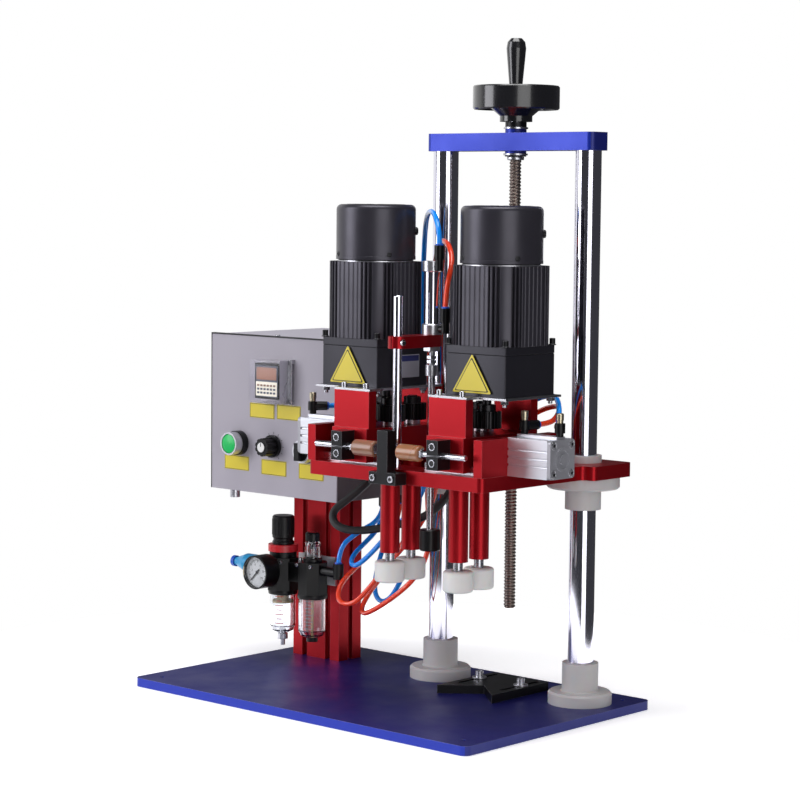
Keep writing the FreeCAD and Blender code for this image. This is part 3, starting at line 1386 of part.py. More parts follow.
def bend_radius(before, corner, after):
    runs = [(before - corner).Length, (after - corner).Length]
    turn = math.pi - (before - corner).getAngle(after - corner)
    return 0.45 * min(runs) / math.tan(turn / 2)


def hose(name, points, diameter):
    # Tube along straight runs joined by tangent arcs
    spots = [V(*point) for point in points]
    edges = []
    start = spots[0]
    radii = []
    for i in range(1, len(spots) - 1):
        before, corner, after = spots[i - 1], spots[i], spots[i + 1]
        radius = bend_radius(before, corner, after)
        radii.append(round(radius, 1))
        cut = 0.45 * min((before - corner).Length, (after - corner).Length)
        to_before = (before - corner).normalize()
        to_after = (after - corner).normalize()
        middle = (to_before + to_after).normalize()
        half = to_before.getAngle(to_after) / 2
        arc_in = corner + to_before * cut
        arc_out = corner + to_after * cut
        crown = corner + middle * (radius / math.sin(half) - radius)
        edges.append(Part.LineSegment(start, arc_in).toShape())
        edges.append(Part.Arc(arc_in, crown, arc_out).toShape())
        start = arc_out
    edges.append(Part.LineSegment(start, spots[-1]).toShape())
    path = Part.Wire(edges)
    section = Part.Wire(Part.makeCircle(diameter / 2, spots[0], spots[1] - spots[0]))
    body = path.makePipeShell([section], True, False)
    volume = math.pi / 4 * diameter ** 2 * path.Length
    print(name, "length", round(path.Length), "radii", radii, "volume ratio", round(body.Volume / volume, 4))
    return body


def box_port_ends(name):
    # End inside the port and the first corner straight below it
    x, y = BOX_PORTS[name]
    return [(x, y, BOX_LOW_Z - BOX_PORT_H / 2), (x, y, BOX_LOW_Z - BOX_PORT_H - 16)]


# Blue hose from the air set's outlet to the control box
def supply_hose():
    x = LUBE_X + AIR_BODY_W / 2 + 25
    points = [(x, AIR_Y, GAUGE_Z + 9), (x, AIR_Y, GAUGE_Z + 34), (x + 9, 58, 178)]
    return hose("supply_hose", points + box_port_ends("supply")[::-1], HOSE_D)


# Looped hoses from the control box up through the head plate's port
def feed_hose_clamp_red():
    points = box_port_ends("clamp_red") + [
        (-102, 110, 172), (-104, 82, 152), (-107, 54, 136), (-107, 31, 121), (-100, 17, 107), (-84, 9, 100),
        (-66, 11, 103), (-53, 20, 119), (-40, 33, 143), (-20, 44, 170), (5, 50, 202), (28, 47, 234),
        (TEE_X, TEE_RED_Y, 266), (TEE_X, TEE_RED_Y, TEE_Z - 4),
    ]
    return hose("clamp_red", points, HOSE_D)


def feed_hose_clamp_blue():
    points = box_port_ends("clamp_blue") + [
        (-110, 98, 178), (-107, 72, 165), (-103, 48, 154), (-90, 30, 146), (-71, 20, 147), (-52, 21, 161),
        (-30, 24, 184), (-4, 27, 208), (20, 26, 232), (34, 26, 256),
        (TEE_X, TEE_BLUE_Y, 280), (TEE_X, TEE_BLUE_Y, TEE_Z - 4),
    ]
    return hose("clamp_blue", points, HOSE_D)


def feed_hose_press_red():
    points = box_port_ends("press_red") + [
        (-90, 132, 172), (-82, 104, 150), (-77, 76, 130), (-77, 50, 111), (-70, 28, 95), (-52, 12, 91),
        (-24, 3, 102), (6, 1, 120), (31, 8, 142), (41, 22, 170), (36, 32, 202), (29, 34, 232),
        (UNION_RED_X, UNION_Y, 270), (UNION_RED_X, UNION_Y, UNION_Z + 5),
    ]
    return hose("press_red", points, HOSE_D)


def feed_hose_press_blue():
    points = box_port_ends("press_blue") + [
        (-117, 128, 174), (-113, 110, 148), (-106, 92, 122), (-92, 76, 103), (-70, 64, 97), (-48, 57, 106),
        (-28, 51, 128), (-10, 45, 156), (6, 40, 186), (15, 35, 220),
        (UNION_BLUE_X, UNION_Y, 262), (UNION_BLUE_X, UNION_Y, UNION_Z + 5),
    ]
    return hose("press_blue", points, HOSE_D)


# Black motor cable from the box's side gland to the gland on the head plate
def motor_cable():
    x = BOX_LEFT_X + BOX_WIDTH
    points = [
        (x + 7, CABLE_EXIT_Y, CABLE_EXIT_Z), (x + 27, CABLE_EXIT_Y, CABLE_EXIT_Z), (-45, 38, 282),
        (-42, 22, 262), (-50, 5, 245), (-62, -9, 230), (-70, -19, 214), (-64, -24, 197), (-47, -21, 189),
        (-26, -12, 190), (-4, -1, 196), (17, 9, 205), (38, 18, 216), (55, 28, 232), (65, 38, 252),
        (CABLE_PORT_X, CABLE_PORT_Y, 274), (CABLE_PORT_X, CABLE_PORT_Y, HEAD_TOP_Z + 4.5),
    ]
    return hose("motor_cable", points, CABLE_D)


def mouth_points(side, place):
    # Corner straight out of an elbow's socket, then the end inside it
    u = port_u(side, place)
    way = port_direction(place)
    z = CYLINDER_Z + CYLINDER_W / 2 + 12.2
    spots = []
    for reach in (32, 11):
        point = V(u, CYLINDER_Y, z) + way * reach
        x = SPINDLE_RIGHT_X + point.x if side == "right" else SPINDLE_LEFT_X - point.x
        spots.append((x, point.y, z))
    return spots


def tee_points(y, sign):
    # End inside a tee's side outlet and the first corner straight out of it
    start = TEE_X + sign * (TEE_REACH - 5)
    return [(start, y, TEE_Z), (start + sign * 24, y, TEE_Z)]


# Hoses on the head from each tee to the two clamp cylinders
def clamp_hoses_red():
    right = tee_points(TEE_RED_Y, 1) + [
        (96, 46, 310), (132, 44, 324), (168, 41, 340), (204, 34, 356), (236, 20, 362), (252, -2, 354),
    ]
    left = tee_points(TEE_RED_Y, -1) + [(-10, 40, 314), (-28, 24, 330), (-38, 2, 340)]
    return [hose("clamp_red_right", right + mouth_points("right", "inner"), HOSE_D),
            hose("clamp_red_left", left + mouth_points("left", "inner"), HOSE_D)]


def clamp_hoses_blue():
    right = tee_points(TEE_BLUE_Y, 1) + [
        (98, 28, 315), (134, 28, 333), (170, 28, 354), (204, 25, 369), (232, 16, 374), (252, 0, 364),
    ]
    left = tee_points(TEE_BLUE_Y, -1) + [(-9, 25, 322), (-26, 14, 342), (-42, -6, 352)]
    return [hose("clamp_blue_right", right + mouth_points("right", "outer"), HOSE_D),
            hose("clamp_blue_left", left + mouth_points("left", "outer"), HOSE_D)]


def press_ends(place):
    # Corner straight above a fitting of the small cylinder, then the end inside it
    spot = press_port(place) + V(0, 0, PRESS_SOCKET_RISE + 9)
    return [(spot.x, spot.y, spot.z + 26), (spot.x, spot.y, spot.z)]


# Hoses behind the left motor up to the small cylinder
def press_hose_blue():
    start = UNION_Z + UNION_H - 5
    points = [
        (UNION_BLUE_X, UNION_Y, start), (UNION_BLUE_X, UNION_Y, start + 36), (14, 39, 404), (13, 41, 444),
        (13, 40, 484), (18, 36, 522), (32, 22, 556), (58, -4, 580), (88, -30, 586), (110, -48, 578),
    ]
    return hose("press_blue_upper", points + press_ends("high"), HOSE_D)


def press_hose_red():
    start = UNION_Z + UNION_H - 5
    points = [
        (UNION_RED_X, UNION_Y, start), (UNION_RED_X, UNION_Y, start + 36), (27, 38, 402), (26, 39, 440),
        (28, 39, 476), (36, 34, 508), (54, 19, 532), (80, -3, 544), (106, -20, 538), (123, -34, 520),
    ]
    return hose("press_red_upper", points + press_ends("low"), HOSE_D)


def export(name, shape):
    solids = shape if isinstance(shape, list) else [shape]
    body = solids[0] if len(solids) == 1 else Part.makeCompound(solids)
    if not all(solid.isValid() for solid in solids):
        raise ValueError(name + " is not valid")
    body.exportStep(os.path.join("parts", name + ".step"))


def both(maker):
    return [maker("left"), maker("right")]


def build_frame():
    export("base_plate", base_plate())
    export("column_sockets", [column_socket(COLUMN_LEFT_X), column_socket(COLUMN_RIGHT_X)])
    export("columns", [column(COLUMN_LEFT_X), column(COLUMN_RIGHT_X)])
    export("top_plate", [top_plate(), screw_bearing()])
    export("box_post", box_post())
    bezels = [button_bezel(POWER_X), button_bezel(SELECT_X)]
    fittings = [box_trim(), box_gland(), side_gland()] + box_ports() + bezels
    export("control_box", [box_shell(), box_panel()] + fittings)
    export("timer_body", timer_body())
    inlet = [inlet_adapter(), inlet_coupling(), coupling_ring()]
    export("air_set", [air_body(), air_bracket(), red_ring(), gauge_case(), outlet_elbow()] + inlet)
    bowls = [bowl(FILTER_X, FILTER_BOWL_D), bowl(LUBE_X, LUBE_BOWL_D)]
    export("air_bowls", bowls + [filter_core(), lube_plug(), gauge_lens(), sight_dome()])
    export("guide_bolts", guide_bolts())


def build_controls():
    export("power_button", power_button())
    export("selector_knob", selector_knob())
    export("torque_knob", [torque_knob(), knob_cap()])
    export("timer_cover", timer_cover())
    export("regulator_knob", regulator_knob())
    export("gauge_needle", gauge_needle())
    export("drain_valve", drain_valve())
    export("oil_knob", oil_knob())
    export("guide_block", guide_block())


def build_head():
    export("lead_screw", lead_screw())
    export("handwheel", handwheel())
    export("wheel_handle", wheel_handle())
    export("head_plate", [head_plate()] + both(end_bracket))
    export("head_bushes", [column_bush(COLUMN_LEFT_X), column_bush(COLUMN_RIGHT_X), screw_nut()])
    export("slide_rails", slide_rails("left") + slide_rails("right") + [press_post()])
    export("clamp_cylinders", both(cylinder_barrel) + both(cylinder_cap))
    places = [(side, place) for side in ("left", "right") for place in ("inner", "outer")]
    elbows = [port_elbow(side, place) for side, place in places]
    joints = [hose_tee(TEE_BLUE_Y), hose_tee(TEE_RED_Y), hose_union(UNION_BLUE_X), hose_union(UNION_RED_X)]
    export("port_elbows", elbows + joints + [head_gland()])
    for side, place in places:
        export("flow_knob_" + side + "_" + place, flow_knob(side, place))
    export("stop_block", stop_block())
    export("press_arm", press_arm())
    export("press_cylinder", press_cylinder())
    export("press_elbows", [press_elbow("high"), press_elbow("low")])
    export("press_rod", [press_rod(), press_pad()])


def build_units():
    for side in ("left", "right"):
        export("carriage_" + side, [carriage_block(side)] + carriage_spacers(side) + spindle_sleeves(side))
        export("motor_mount_" + side, [motor_plate(side), piston_rod(side)])
        export("gearmotor_" + side, [gearbox(side), motor_frame(side), fan_cover(side)])
        export("stop_clamp_" + side, stop_clamp(side))
        export("stop_screw_" + side, [stop_screw(side), bumper(side)])
        export("pinion_" + side, [drive_pinion(side), pinion_shaft(side)])
        for end in ("front", "back"):
            pieces = [spindle_shaft(side, end), spindle_gear(side, end), grip_wheel(side, end)]
            export("spindle_" + side + "_" + end, pieces)


def build_hoses():
    export("supply_hose", supply_hose())
    export("feed_red", [feed_hose_clamp_red(), feed_hose_press_red()])
    export("feed_blue", [feed_hose_clamp_blue(), feed_hose_press_blue()])
    export("motor_cable", motor_cable())
    export("clamp_hoses_red", clamp_hoses_red())
    export("clamp_hoses_blue", clamp_hoses_blue())
    export("press_hose_red", press_hose_red())
    export("press_hose_blue", press_hose_blue())


def build():
    os.makedirs("parts", exist_ok=True)
    build_frame()
    build_controls()
    build_head()
    build_units()
    build_hoses()


build()
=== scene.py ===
import math

import bmesh
import bpy
from mathutils import Matrix, Vector


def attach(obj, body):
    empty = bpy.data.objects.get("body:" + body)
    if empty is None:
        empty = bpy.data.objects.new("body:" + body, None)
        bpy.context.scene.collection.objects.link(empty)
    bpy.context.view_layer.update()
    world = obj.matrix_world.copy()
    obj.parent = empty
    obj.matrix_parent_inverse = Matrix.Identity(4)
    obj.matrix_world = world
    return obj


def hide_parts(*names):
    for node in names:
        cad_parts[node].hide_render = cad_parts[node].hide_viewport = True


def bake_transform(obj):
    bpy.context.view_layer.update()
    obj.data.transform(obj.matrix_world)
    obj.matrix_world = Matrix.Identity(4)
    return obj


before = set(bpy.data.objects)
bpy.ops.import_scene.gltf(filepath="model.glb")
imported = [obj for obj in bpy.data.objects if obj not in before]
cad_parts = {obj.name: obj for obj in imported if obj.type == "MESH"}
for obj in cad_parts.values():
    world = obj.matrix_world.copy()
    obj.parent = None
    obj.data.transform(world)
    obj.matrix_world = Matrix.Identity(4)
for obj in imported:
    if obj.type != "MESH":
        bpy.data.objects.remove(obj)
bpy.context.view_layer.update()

scene = bpy.context.scene
scene.view_settings.view_transform = "Standard"


# Camera
# A long lens a little above the head plate looks at the machine's front, turned towards its right side.
yaw, pitch, roll = 0.7313, 0.0852, 0.0098
forward = Vector((-math.sin(yaw) * math.cos(pitch), math.cos(yaw) * math.cos(pitch), -math.sin(pitch)))
right = Vector((math.cos(yaw), math.sin(yaw), 0))
up = right.cross(forward)
tilted_right = math.cos(roll) * right + math.sin(roll) * up
tilted_up = -math.sin(roll) * right + math.cos(roll) * up
lens = bpy.data.cameras.new("camera")
lens.lens = 106.85
lens.sensor_width = 36
lens.clip_end = 60
camera = bpy.data.objects.new("camera", lens)
camera.matrix_world = Matrix((tilted_right, tilted_up, -forward)).transposed().to_4x4()
camera.location = (1.8643, -2.0611, 0.5915)
scene.collection.objects.link(camera)
scene.camera = camera


# Studio
# White surroundings behind the machine, a dim room with one white patch for polished metal to mirror, a pale
# floor that keeps the shadow and fades into the white, and large soft lamps left, right and above.
def tone(red, green, blue):
    values = [v / 255 for v in (red, green, blue)]
    return tuple(v / 12.92 if v <= 0.04045 else ((v + 0.055) / 1.055) ** 2.4 for v in values) + (1,)


def mapped(tree, signal, from_low, from_high, to_low=0.0, to_high=1.0):
    # Signal moved from one range to the other and held at the ends
    node = tree.nodes.new("ShaderNodeMapRange")
    limits = {"From Min": from_low, "From Max": from_high, "To Min": to_low, "To Max": to_high}
    for socket, value in limits.items():
        node.inputs[socket].default_value = value
    tree.links.new(signal, node.inputs["Value"])
    return node.outputs[0]


def combined(tree, operation, first, second):
    node = tree.nodes.new("ShaderNodeMath")
    node.operation = operation
    tree.links.new(first, node.inputs[0])
    tree.links.new(second, node.inputs[1])
    return node.outputs[0]


def soft_lamp(name, place, target, size, power, colour=(1, 1, 1)):
    lamp = bpy.data.lights.new(name, "AREA")
    lamp.shape = "RECTANGLE"
    lamp.size, lamp.size_y = size
    lamp.energy = power
    lamp.color = colour
    holder = bpy.data.objects.new(name, lamp)
    holder.location = place
    holder.rotation_euler = (Vector(target) - Vector(place)).to_track_quat("-Z", "Y").to_euler()
    scene.collection.objects.link(holder)


soft_lamp("lamp_left", (-1.7, -2.2, 1.2), (0, 0, 0.35), (1.5, 2.2), 50, (0.95, 0.95, 1))
soft_lamp("lamp_right", (2.5, -1.33, 0.6), (0, 0, 0.35), (1.7, 2.2), 26)
soft_lamp("lamp_top", (0.2, -0.3, 2.4), (0, 0, 0.3), (1.6, 1.2), 32)

world = bpy.data.worlds.new("surroundings")
world.use_nodes = True
scene.world = world
tree = world.node_tree
ray = tree.nodes.new("ShaderNodeLightPath")
dim = tree.nodes["Background"]
dim.inputs["Color"].default_value = tone(226, 226, 236)
room_light, room_mirrored = 0.3, 0.06
room = mapped(tree, ray.outputs["Is Glossy Ray"], 0, 1, room_light, room_mirrored)
tree.links.new(room, dim.inputs["Strength"])
white = tree.nodes.new("ShaderNodeBackground")
white.inputs["Color"].default_value = (1, 1, 1, 1)
heading = tree.nodes.new("ShaderNodeTexCoord")
patch = tree.nodes.new("ShaderNodeVectorMath")
patch.operation = "DOT_PRODUCT"
patch.inputs[1].default_value = (-0.99, 0.14, 0)
tree.links.new(heading.outputs["Generated"], patch.inputs[0])
patch_edge, patch_full = 0.74, 0.88
seen = mapped(tree, patch.outputs["Value"], patch_edge, patch_full)
seen = combined(tree, "MULTIPLY", seen, ray.outputs["Is Glossy Ray"])
for kind in ("Is Camera Ray", "Is Transmission Ray"):
    seen = combined(tree, "MAXIMUM", seen, ray.outputs[kind])
choose = tree.nodes.new("ShaderNodeMixShader")
tree.links.new(seen, choose.inputs[0])
tree.links.new(dim.outputs[0], choose.inputs[1])
tree.links.new(white.outputs[0], choose.inputs[2])
tree.links.new(choose.outputs[0], tree.nodes["World Output"].inputs["Surface"])

floor_radius, floor_sides = 0.66, 64
sheet = bpy.data.meshes.new("floor")
turns = [2 * i * math.pi / floor_sides for i in range(floor_sides)]
rim = [(floor_radius * math.cos(turn), floor_radius * math.sin(turn), -0.0005) for turn in turns]
sheet.from_pydata(rim, [], [tuple(range(floor_sides))])
floor = bpy.data.objects.new("floor", sheet)
scene.collection.objects.link(floor)
paper = bpy.data.materials.new("paper")
paper.use_nodes = True
tree = paper.node_tree
matt = tree.nodes["Principled BSDF"]
matt.inputs["Base Color"].default_value = (0.9, 0.9, 0.9, 1)
matt.inputs["Roughness"].default_value = 0.9
matt.inputs["Emission Color"].default_value = (1, 1, 1, 1)
ray = tree.nodes.new("ShaderNodeLightPath")
spread = tree.nodes.new("ShaderNodeTexCoord")
reach = tree.nodes.new("ShaderNodeVectorMath")
reach.operation = "LENGTH"
tree.links.new(spread.outputs["Object"], reach.inputs[0])
near, far, near_glow = 0.35, 0.62, 0.42
glow = mapped(tree, reach.outputs["Value"], near, far, near_glow)
seen = ray.outputs["Is Camera Ray"]
for kind in ("Is Transmission Ray", "Is Glossy Ray"):
    seen = combined(tree, "MAXIMUM", seen, ray.outputs[kind])
tree.links.new(combined(tree, "MULTIPLY", seen, glow), matt.inputs["Emission Strength"])
sheet.materials.append(paper)


# Base plate
# Thick aluminium plate, blue anodised, bright at the sawn and chamfered edges, with a fine grain and a worn
# line along each edge. Its top is painted darker as a painted reflection of the dark machine, and its faces
# towards +x are painted darker as painted shade.
def surface(name, colour, rough, metal=0.0, grain=900.0, relief=0.08, mottle=0.06, edge=0.4, wear=0.0,
            stretch=(1, 1, 1), **sockets):
    # Broad uneven patches, fine grain, edges softened by edge in mm and, with wear, bared to pale metal.
    # Inputs 6 and 7 of a colour Mix node are the two colours that it mixes.
    material = bpy.data.materials.new(name)
    material.use_nodes = True
    tree = material.node_tree
    shader = tree.nodes["Principled BSDF"]
    place = tree.nodes.new("ShaderNodeTexCoord")
    warp = tree.nodes.new("ShaderNodeMapping")
    warp.inputs["Scale"].default_value = stretch
    tree.links.new(place.outputs["Object"], warp.inputs["Vector"])
    noises = []
    for scale, detail in ((16, 4), (grain, 3)):
        noise = tree.nodes.new("ShaderNodeTexNoise")
        noise.inputs["Scale"].default_value = scale
        noise.inputs["Detail"].default_value = detail
        tree.links.new(warp.outputs[0], noise.inputs["Vector"])
        noises.append(noise)
    broad, fine = noises
    blend = tree.nodes.new("ShaderNodeMix")
    blend.data_type = "RGBA"
    base = Vector(tone(*colour)[:3])
    blend.inputs[6].default_value = (*(base * (1 - mottle)), 1)
    blend.inputs[7].default_value = (*(base * (1 + mottle)), 1)
    tree.links.new(broad.outputs[0], blend.inputs[0])
    result = blend.outputs[2]
    gloss = mapped(tree, broad.outputs[0], 0.3, 0.7, rough * 0.82, min(rough * 1.2, 1))
    tree.links.new(gloss, shader.inputs["Roughness"])
    soft = tree.nodes.new("ShaderNodeBevel")
    soft.samples = 3
    soft.inputs["Radius"].default_value = edge / 1000
    bump = tree.nodes.new("ShaderNodeBump")
    bump.inputs["Strength"].default_value = relief
    bump.inputs["Distance"].default_value = 0.0003
    tree.links.new(fine.outputs[0], bump.inputs["Height"])
    tree.links.new(soft.outputs[0], bump.inputs["Normal"])
    tree.links.new(bump.outputs[0], shader.inputs["Normal"])
    if wear:
        wide = tree.nodes.new("ShaderNodeBevel")
        wide.samples = 3
        wide.inputs["Radius"].default_value = 0.0009
        flat = tree.nodes.new("ShaderNodeNewGeometry")
        turn = tree.nodes.new("ShaderNodeVectorMath")
        turn.operation = "DOT_PRODUCT"
        tree.links.new(wide.outputs[0], turn.inputs[0])
        tree.links.new(flat.outputs["Normal"], turn.inputs[1])
        at_edge = mapped(tree, turn.outputs["Value"], 0.985, 0.80, 0, wear)
        bared = base * 0.5 + Vector((0.35, 0.35, 0.37))
        rim = tree.nodes.new("ShaderNodeMix")
        rim.data_type = "RGBA"
        rim.inputs[7].default_value = (*bared, 1)
        tree.links.new(at_edge, rim.inputs[0])
        tree.links.new(result, rim.inputs[6])
        result = rim.outputs[2]
    tree.links.new(result, shader.inputs["Base Color"])
    shader.inputs["Metallic"].default_value = metal
    for socket, value in sockets.items():
        shader.inputs[socket.replace("_", " ")].default_value = value
    return material


def paint(node, *materials, rule=None):
    # Materials of a CAD piece, chosen for each face by its place in millimetres and its direction
    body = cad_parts[node]
    mesh = body.data
    while len(mesh.materials) < len(materials):
        mesh.materials.append(None)
    for i, material in enumerate(materials):
        mesh.materials[i] = material
    if rule:
        for face in mesh.polygons:
            face.material_index = rule(face.center * 1000, face.normal)


blue = surface("blue_anodised", (20, 47, 168), 0.36, metal=0.35, grain=1400, relief=0.1, wear=0.5)
# Darker blue for upward faces: a painted reflection of the dark machine
blue_painted_reflection = surface("blue_anodised_painted_reflection", (28, 30, 110), 0.42, metal=0.25, grain=1400, relief=0.14, mottle=0.02,
                 wear=0.35)
# Darker blue for faces towards +x: painted shade
blue_painted_shade = surface("blue_anodised_painted_shade", (24, 34, 120), 0.4, metal=0.3, grain=1400, relief=0.1, wear=0.4)


def blue_painted_light_face(spot, normal):
    # Upward faces get the painted reflection, faces towards +x the painted shade
    if normal.z > 0.8:
        return 1
    return 2 if normal.x > 0.6 else 0


paint("base_plate", blue, blue_painted_reflection, blue_painted_shade, rule=blue_painted_light_face)


# Columns and their nylon sockets
# Ground and hard chromed shafts stand in turned sockets of natural nylon, milky and a little uneven.
nylon = surface("nylon", (194, 191, 190), 0.46, grain=500, relief=0.12, mottle=0.05, edge=0.8,
                Subsurface_Weight=0.25, Subsurface_Scale=0.004)
chrome = surface("hard_chrome", (225, 224, 236), 0.09, metal=1.0, grain=1600, relief=0.02, mottle=0.03,
                 edge=0.3)
paint("column_sockets", nylon)
paint("columns", chrome)


# Top plate with the screw's bearing
# Blue anodised bar with a black flanged sleeve that two snap rings hold; its underside and faces towards +x
# are painted in shade.
black_steel = surface("black_steel", (19, 19, 22), 0.38, metal=0.5, grain=1200, relief=0.15, wear=0.45)
steel = surface("bright_steel", (196, 197, 204), 0.26, metal=1.0, grain=1300, relief=0.08, mottle=0.05)
SCREW_X, SCREW_Y = 104.75, 97.4


def bearing_face(spot, normal):
    # The sleeve's two ends with a bright ring round each, then the bar's underside and faces towards +x in
    # painted shade
    reach = math.hypot(spot.x - SCREW_X, spot.y - SCREW_Y)
    if reach < 14.5 and (spot.z > 667.4 or spot.z < 646.4):
        return 4 if reach > 12.7 else 3
    if normal.z < -0.8 or normal.x > 0.5:
        return 2
    return 0


paint("top_plate", blue, blue_painted_reflection, blue_painted_shade, black_steel, steel, rule=bearing_face)


# Profile post under the control box
# Red anodised T-slot extrusion with sharp dark slots.
red = surface("red_anodised", (166, 11, 24), 0.34, metal=0.72, grain=1300, relief=0.1, wear=0.22)
paint("box_post", red)


# Control box
# Folded steel box in lilac-grey paint with a fine orange-peel, its faces towards +x painted darker as painted
# shade, and a black strip along its left and top edges.
box_paint = surface("box_paint", (188, 184, 194), 0.5, grain=700, relief=0.12, mottle=0.03, edge=1.2)
# Darker colour that paints shade on the box's faces towards +x
box_painted_shade = surface("painted_shade_box_side", (92, 84, 86), 0.55, grain=700, relief=0.12, mottle=0.05, edge=1.2)
panel_paint = surface("panel_paint", (170, 165, 174), 0.48, grain=800, relief=0.1, mottle=0.03, edge=0.5)
black_plastic = surface("black_plastic", (11, 11, 13), 0.32, grain=900, relief=0.12, mottle=0.1, edge=0.5,
                        Specular_IOR_Level=0.3)
silver = surface("silver_metal", (208, 208, 214), 0.3, metal=0.9, grain=1300, relief=0.08, mottle=0.04)


def box_face(spot, normal):
    if spot.z < 224.1:  # bright gland and black hose ports under the box
        return 5 if spot.x < -270 else 3
    if spot.x > -84.4:  # cable gland on the right side
        return 3
    if spot.x < -301.45 or (spot.z > 418.75 and spot.y < 4.1):  # black strip along the left and top edges
        return 3
    if spot.y < -1.7:  # black bezels with a bright front
        return 3 if spot.y > -11.2 else 5
    if spot.y < 0.01:  # front panel
        return 2
    # Faces towards +x take the painted shade colour
    return 1 if normal.x > 0.8 else 0


paint("control_box", box_paint, box_painted_shade, panel_paint, black_plastic, black_steel, silver, rule=box_face)


# Small pieces that are modelled on their own
# Turned, sawn and moulded shapes in millimetres, gathered into one mesh for each group of pieces.
def spun(mesh, profile, at, axis=(0, 0, 1), material=0, sides=40):
    # Profile of (radius, height) pairs, turned round the axis that starts in at
    turn = Vector((0, 0, 1)).rotation_difference(Vector(axis)).to_matrix()
    rings = []
    for radius, along in profile:
        count = 1 if radius < 1e-6 else sides
        ring = []
        for i in range(count):
            angle = 2 * math.pi * i / sides
            local = Vector((radius * math.cos(angle), radius * math.sin(angle), along))
            ring.append(mesh.verts.new(Vector(at) + turn @ local))
        rings.append(ring)
    for low, high in zip(rings, rings[1:]):
        for i in range(sides):
            j = (i + 1) % sides
            corners = [low[i % len(low)], low[j % len(low)], high[j % len(high)], high[i % len(high)]]
            corners = [c for k, c in enumerate(corners) if c not in corners[:k]]
            if len(corners) > 2:
                mesh.faces.new(corners).material_index = material


def slab(mesh, outline, depth, material=0):
    # Flat outline of 3-D points, made thick along depth
    low = [mesh.verts.new(Vector(point)) for point in outline]
    high = [mesh.verts.new(Vector(point) + Vector(depth)) for point in outline]
    mesh.faces.new(low).material_index = material
    mesh.faces.new(high[::-1]).material_index = material
    for i in range(len(low)):
        j = (i + 1) % len(low)
        mesh.faces.new([low[i], low[j], high[j], high[i]]).material_index = material


def rounded(corners, radius, steps=4):
    # 2-D outline with each corner turned into an arc
    outline = []
    for i, corner in enumerate(corners):
        here = Vector(corner)
        back = (Vector(corners[i - 1]) - here).normalized()
        on = (Vector(corners[(i + 1) % len(corners)]) - here).normalized()
        half = back.angle(on) / 2
        reach = radius / math.tan(half)
        centre = here + (back + on).normalized() * (radius / math.sin(half))
        first, last = here + back * reach - centre, here + on * reach - centre
        for k in range(steps + 1):
            outline.append(centre + first.slerp(last, k / steps, first))
    return outline


def oblong(x0, x1, z0, z1):
    return [(x0, z0), (x1, z0), (x1, z1), (x0, z1)]


def brick(mesh, low, high, material=0):
    (x0, y0, z0), (x1, y1, z1) = low, high
    slab(mesh, [(x0, y0, z0), (x1, y0, z0), (x1, y1, z0), (x0, y1, z0)], (0, 0, z1 - z0), material)


def cap_screw(mesh, at, axis, width, height, metal=0, dark=1):
    # Socket cap screw: knurl-edged head with a chamfer and a shallow six-sided recess whose dark colour is
    # painted shade
    r = width / 2
    spun(mesh, [(r, 0), (r, height - 0.4), (r - 0.4, height), (r * 0.55, height)], at, axis, metal, 28)
    spun(mesh, [(r * 0.55, height), (r * 0.52, height - 0.25), (0, height - 0.25)], at, axis, dark, 6)


def hex_nut(mesh, at, axis, width, height, metal=0):
    r = width / math.sqrt(3)
    spun(mesh, [(0, 0), (r, 0), (r, height - 0.4), (r * 0.88, height), (0, height)], at, axis, metal, 6)


def piece(name, mesh, body, *materials, bevel=0.0, angle=32, node=None):
    # Finished object in metres that rides on its body and may stand for a CAD node
    bmesh.ops.recalc_face_normals(mesh, faces=mesh.faces[:])
    bmesh.ops.scale(mesh, vec=(0.001, 0.001, 0.001), verts=mesh.verts[:])
    data = bpy.data.meshes.new(name)
    mesh.to_mesh(data)
    mesh.free()
    for material in materials:
        data.materials.append(material)
    data.shade_smooth()
    data.set_sharp_from_angle(angle=math.radians(angle))
    made = bpy.data.objects.new(name, data)
    scene.collection.objects.link(made)
    if bevel:
        rim = made.modifiers.new("edge", "BEVEL")
        rim.width = bevel / 1000
        rim.segments = 2
        rim.limit_method = "ANGLE"
    if body:
        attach(made, body)
    if node:
        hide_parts(node)
    return made


# Blank plates on the panel
# Thin yellow enamel plates beside the controls, left plain, with rounded corners and a fine dark border.
yellow = surface("yellow_enamel", (220, 200, 50), 0.34, grain=600, relief=0.06, mottle=0.05, edge=0.2)
# Dark colour for print, line marks and the needle, also used as painted shade in screw sockets and under bolt
# heads
print_and_shade = surface("dark_print_and_painted_shade", (30, 30, 34), 0.5, grain=800, relief=0.05)
LEFT, FOOT, FACE = -301.4, 224.2, -1.5  # left and lower edge of the panel, and its front
border, half_line = 1.4, 0.25
plates = bmesh.new()
for x0, x1, z0, z1 in ((67.5, 111.4, 93.2, 112.6), (114.7, 156.2, 93.9, 113.2), (23, 67, 25.6, 44.6),
                       (88.2, 132.4, 23.7, 43.6), (152.8, 195.6, 23.7, 43.9)):
    rim = rounded(oblong(LEFT + x0, LEFT + x1, FOOT + z0, FOOT + z1), 1.6)
    slab(plates, [(p.x, FACE, p.y) for p in rim], (0, -0.5, 0), 0)
    lines = oblong(LEFT + x0 + border, LEFT + x1 - border, FOOT + z0 + border, FOOT + z1 - border)
    for a, b in zip(lines, lines[1:] + lines[:1]):
        x_low, x_high = min(a[0], b[0]) - half_line, max(a[0], b[0]) + half_line
        z_low, z_high = min(a[1], b[1]) - half_line, max(a[1], b[1]) + half_line
        brick(plates, (x_low, FACE - 0.56, z_low), (x_high, FACE - 0.4, z_high), 1)
piece("panel_plates", plates, "frame", yellow, print_and_shade)

# Screw of the lid
# One zinc plated socket head on top of the box, in the middle and just behind the black strip along its top
# edge.
screws = bmesh.new()
cap_screw(screws, (LEFT + 107, FACE + 9, FOOT + 194.5), (0, 0, 1), 6, 3)
piece("box_screws", screws, "frame", silver, print_and_shade)


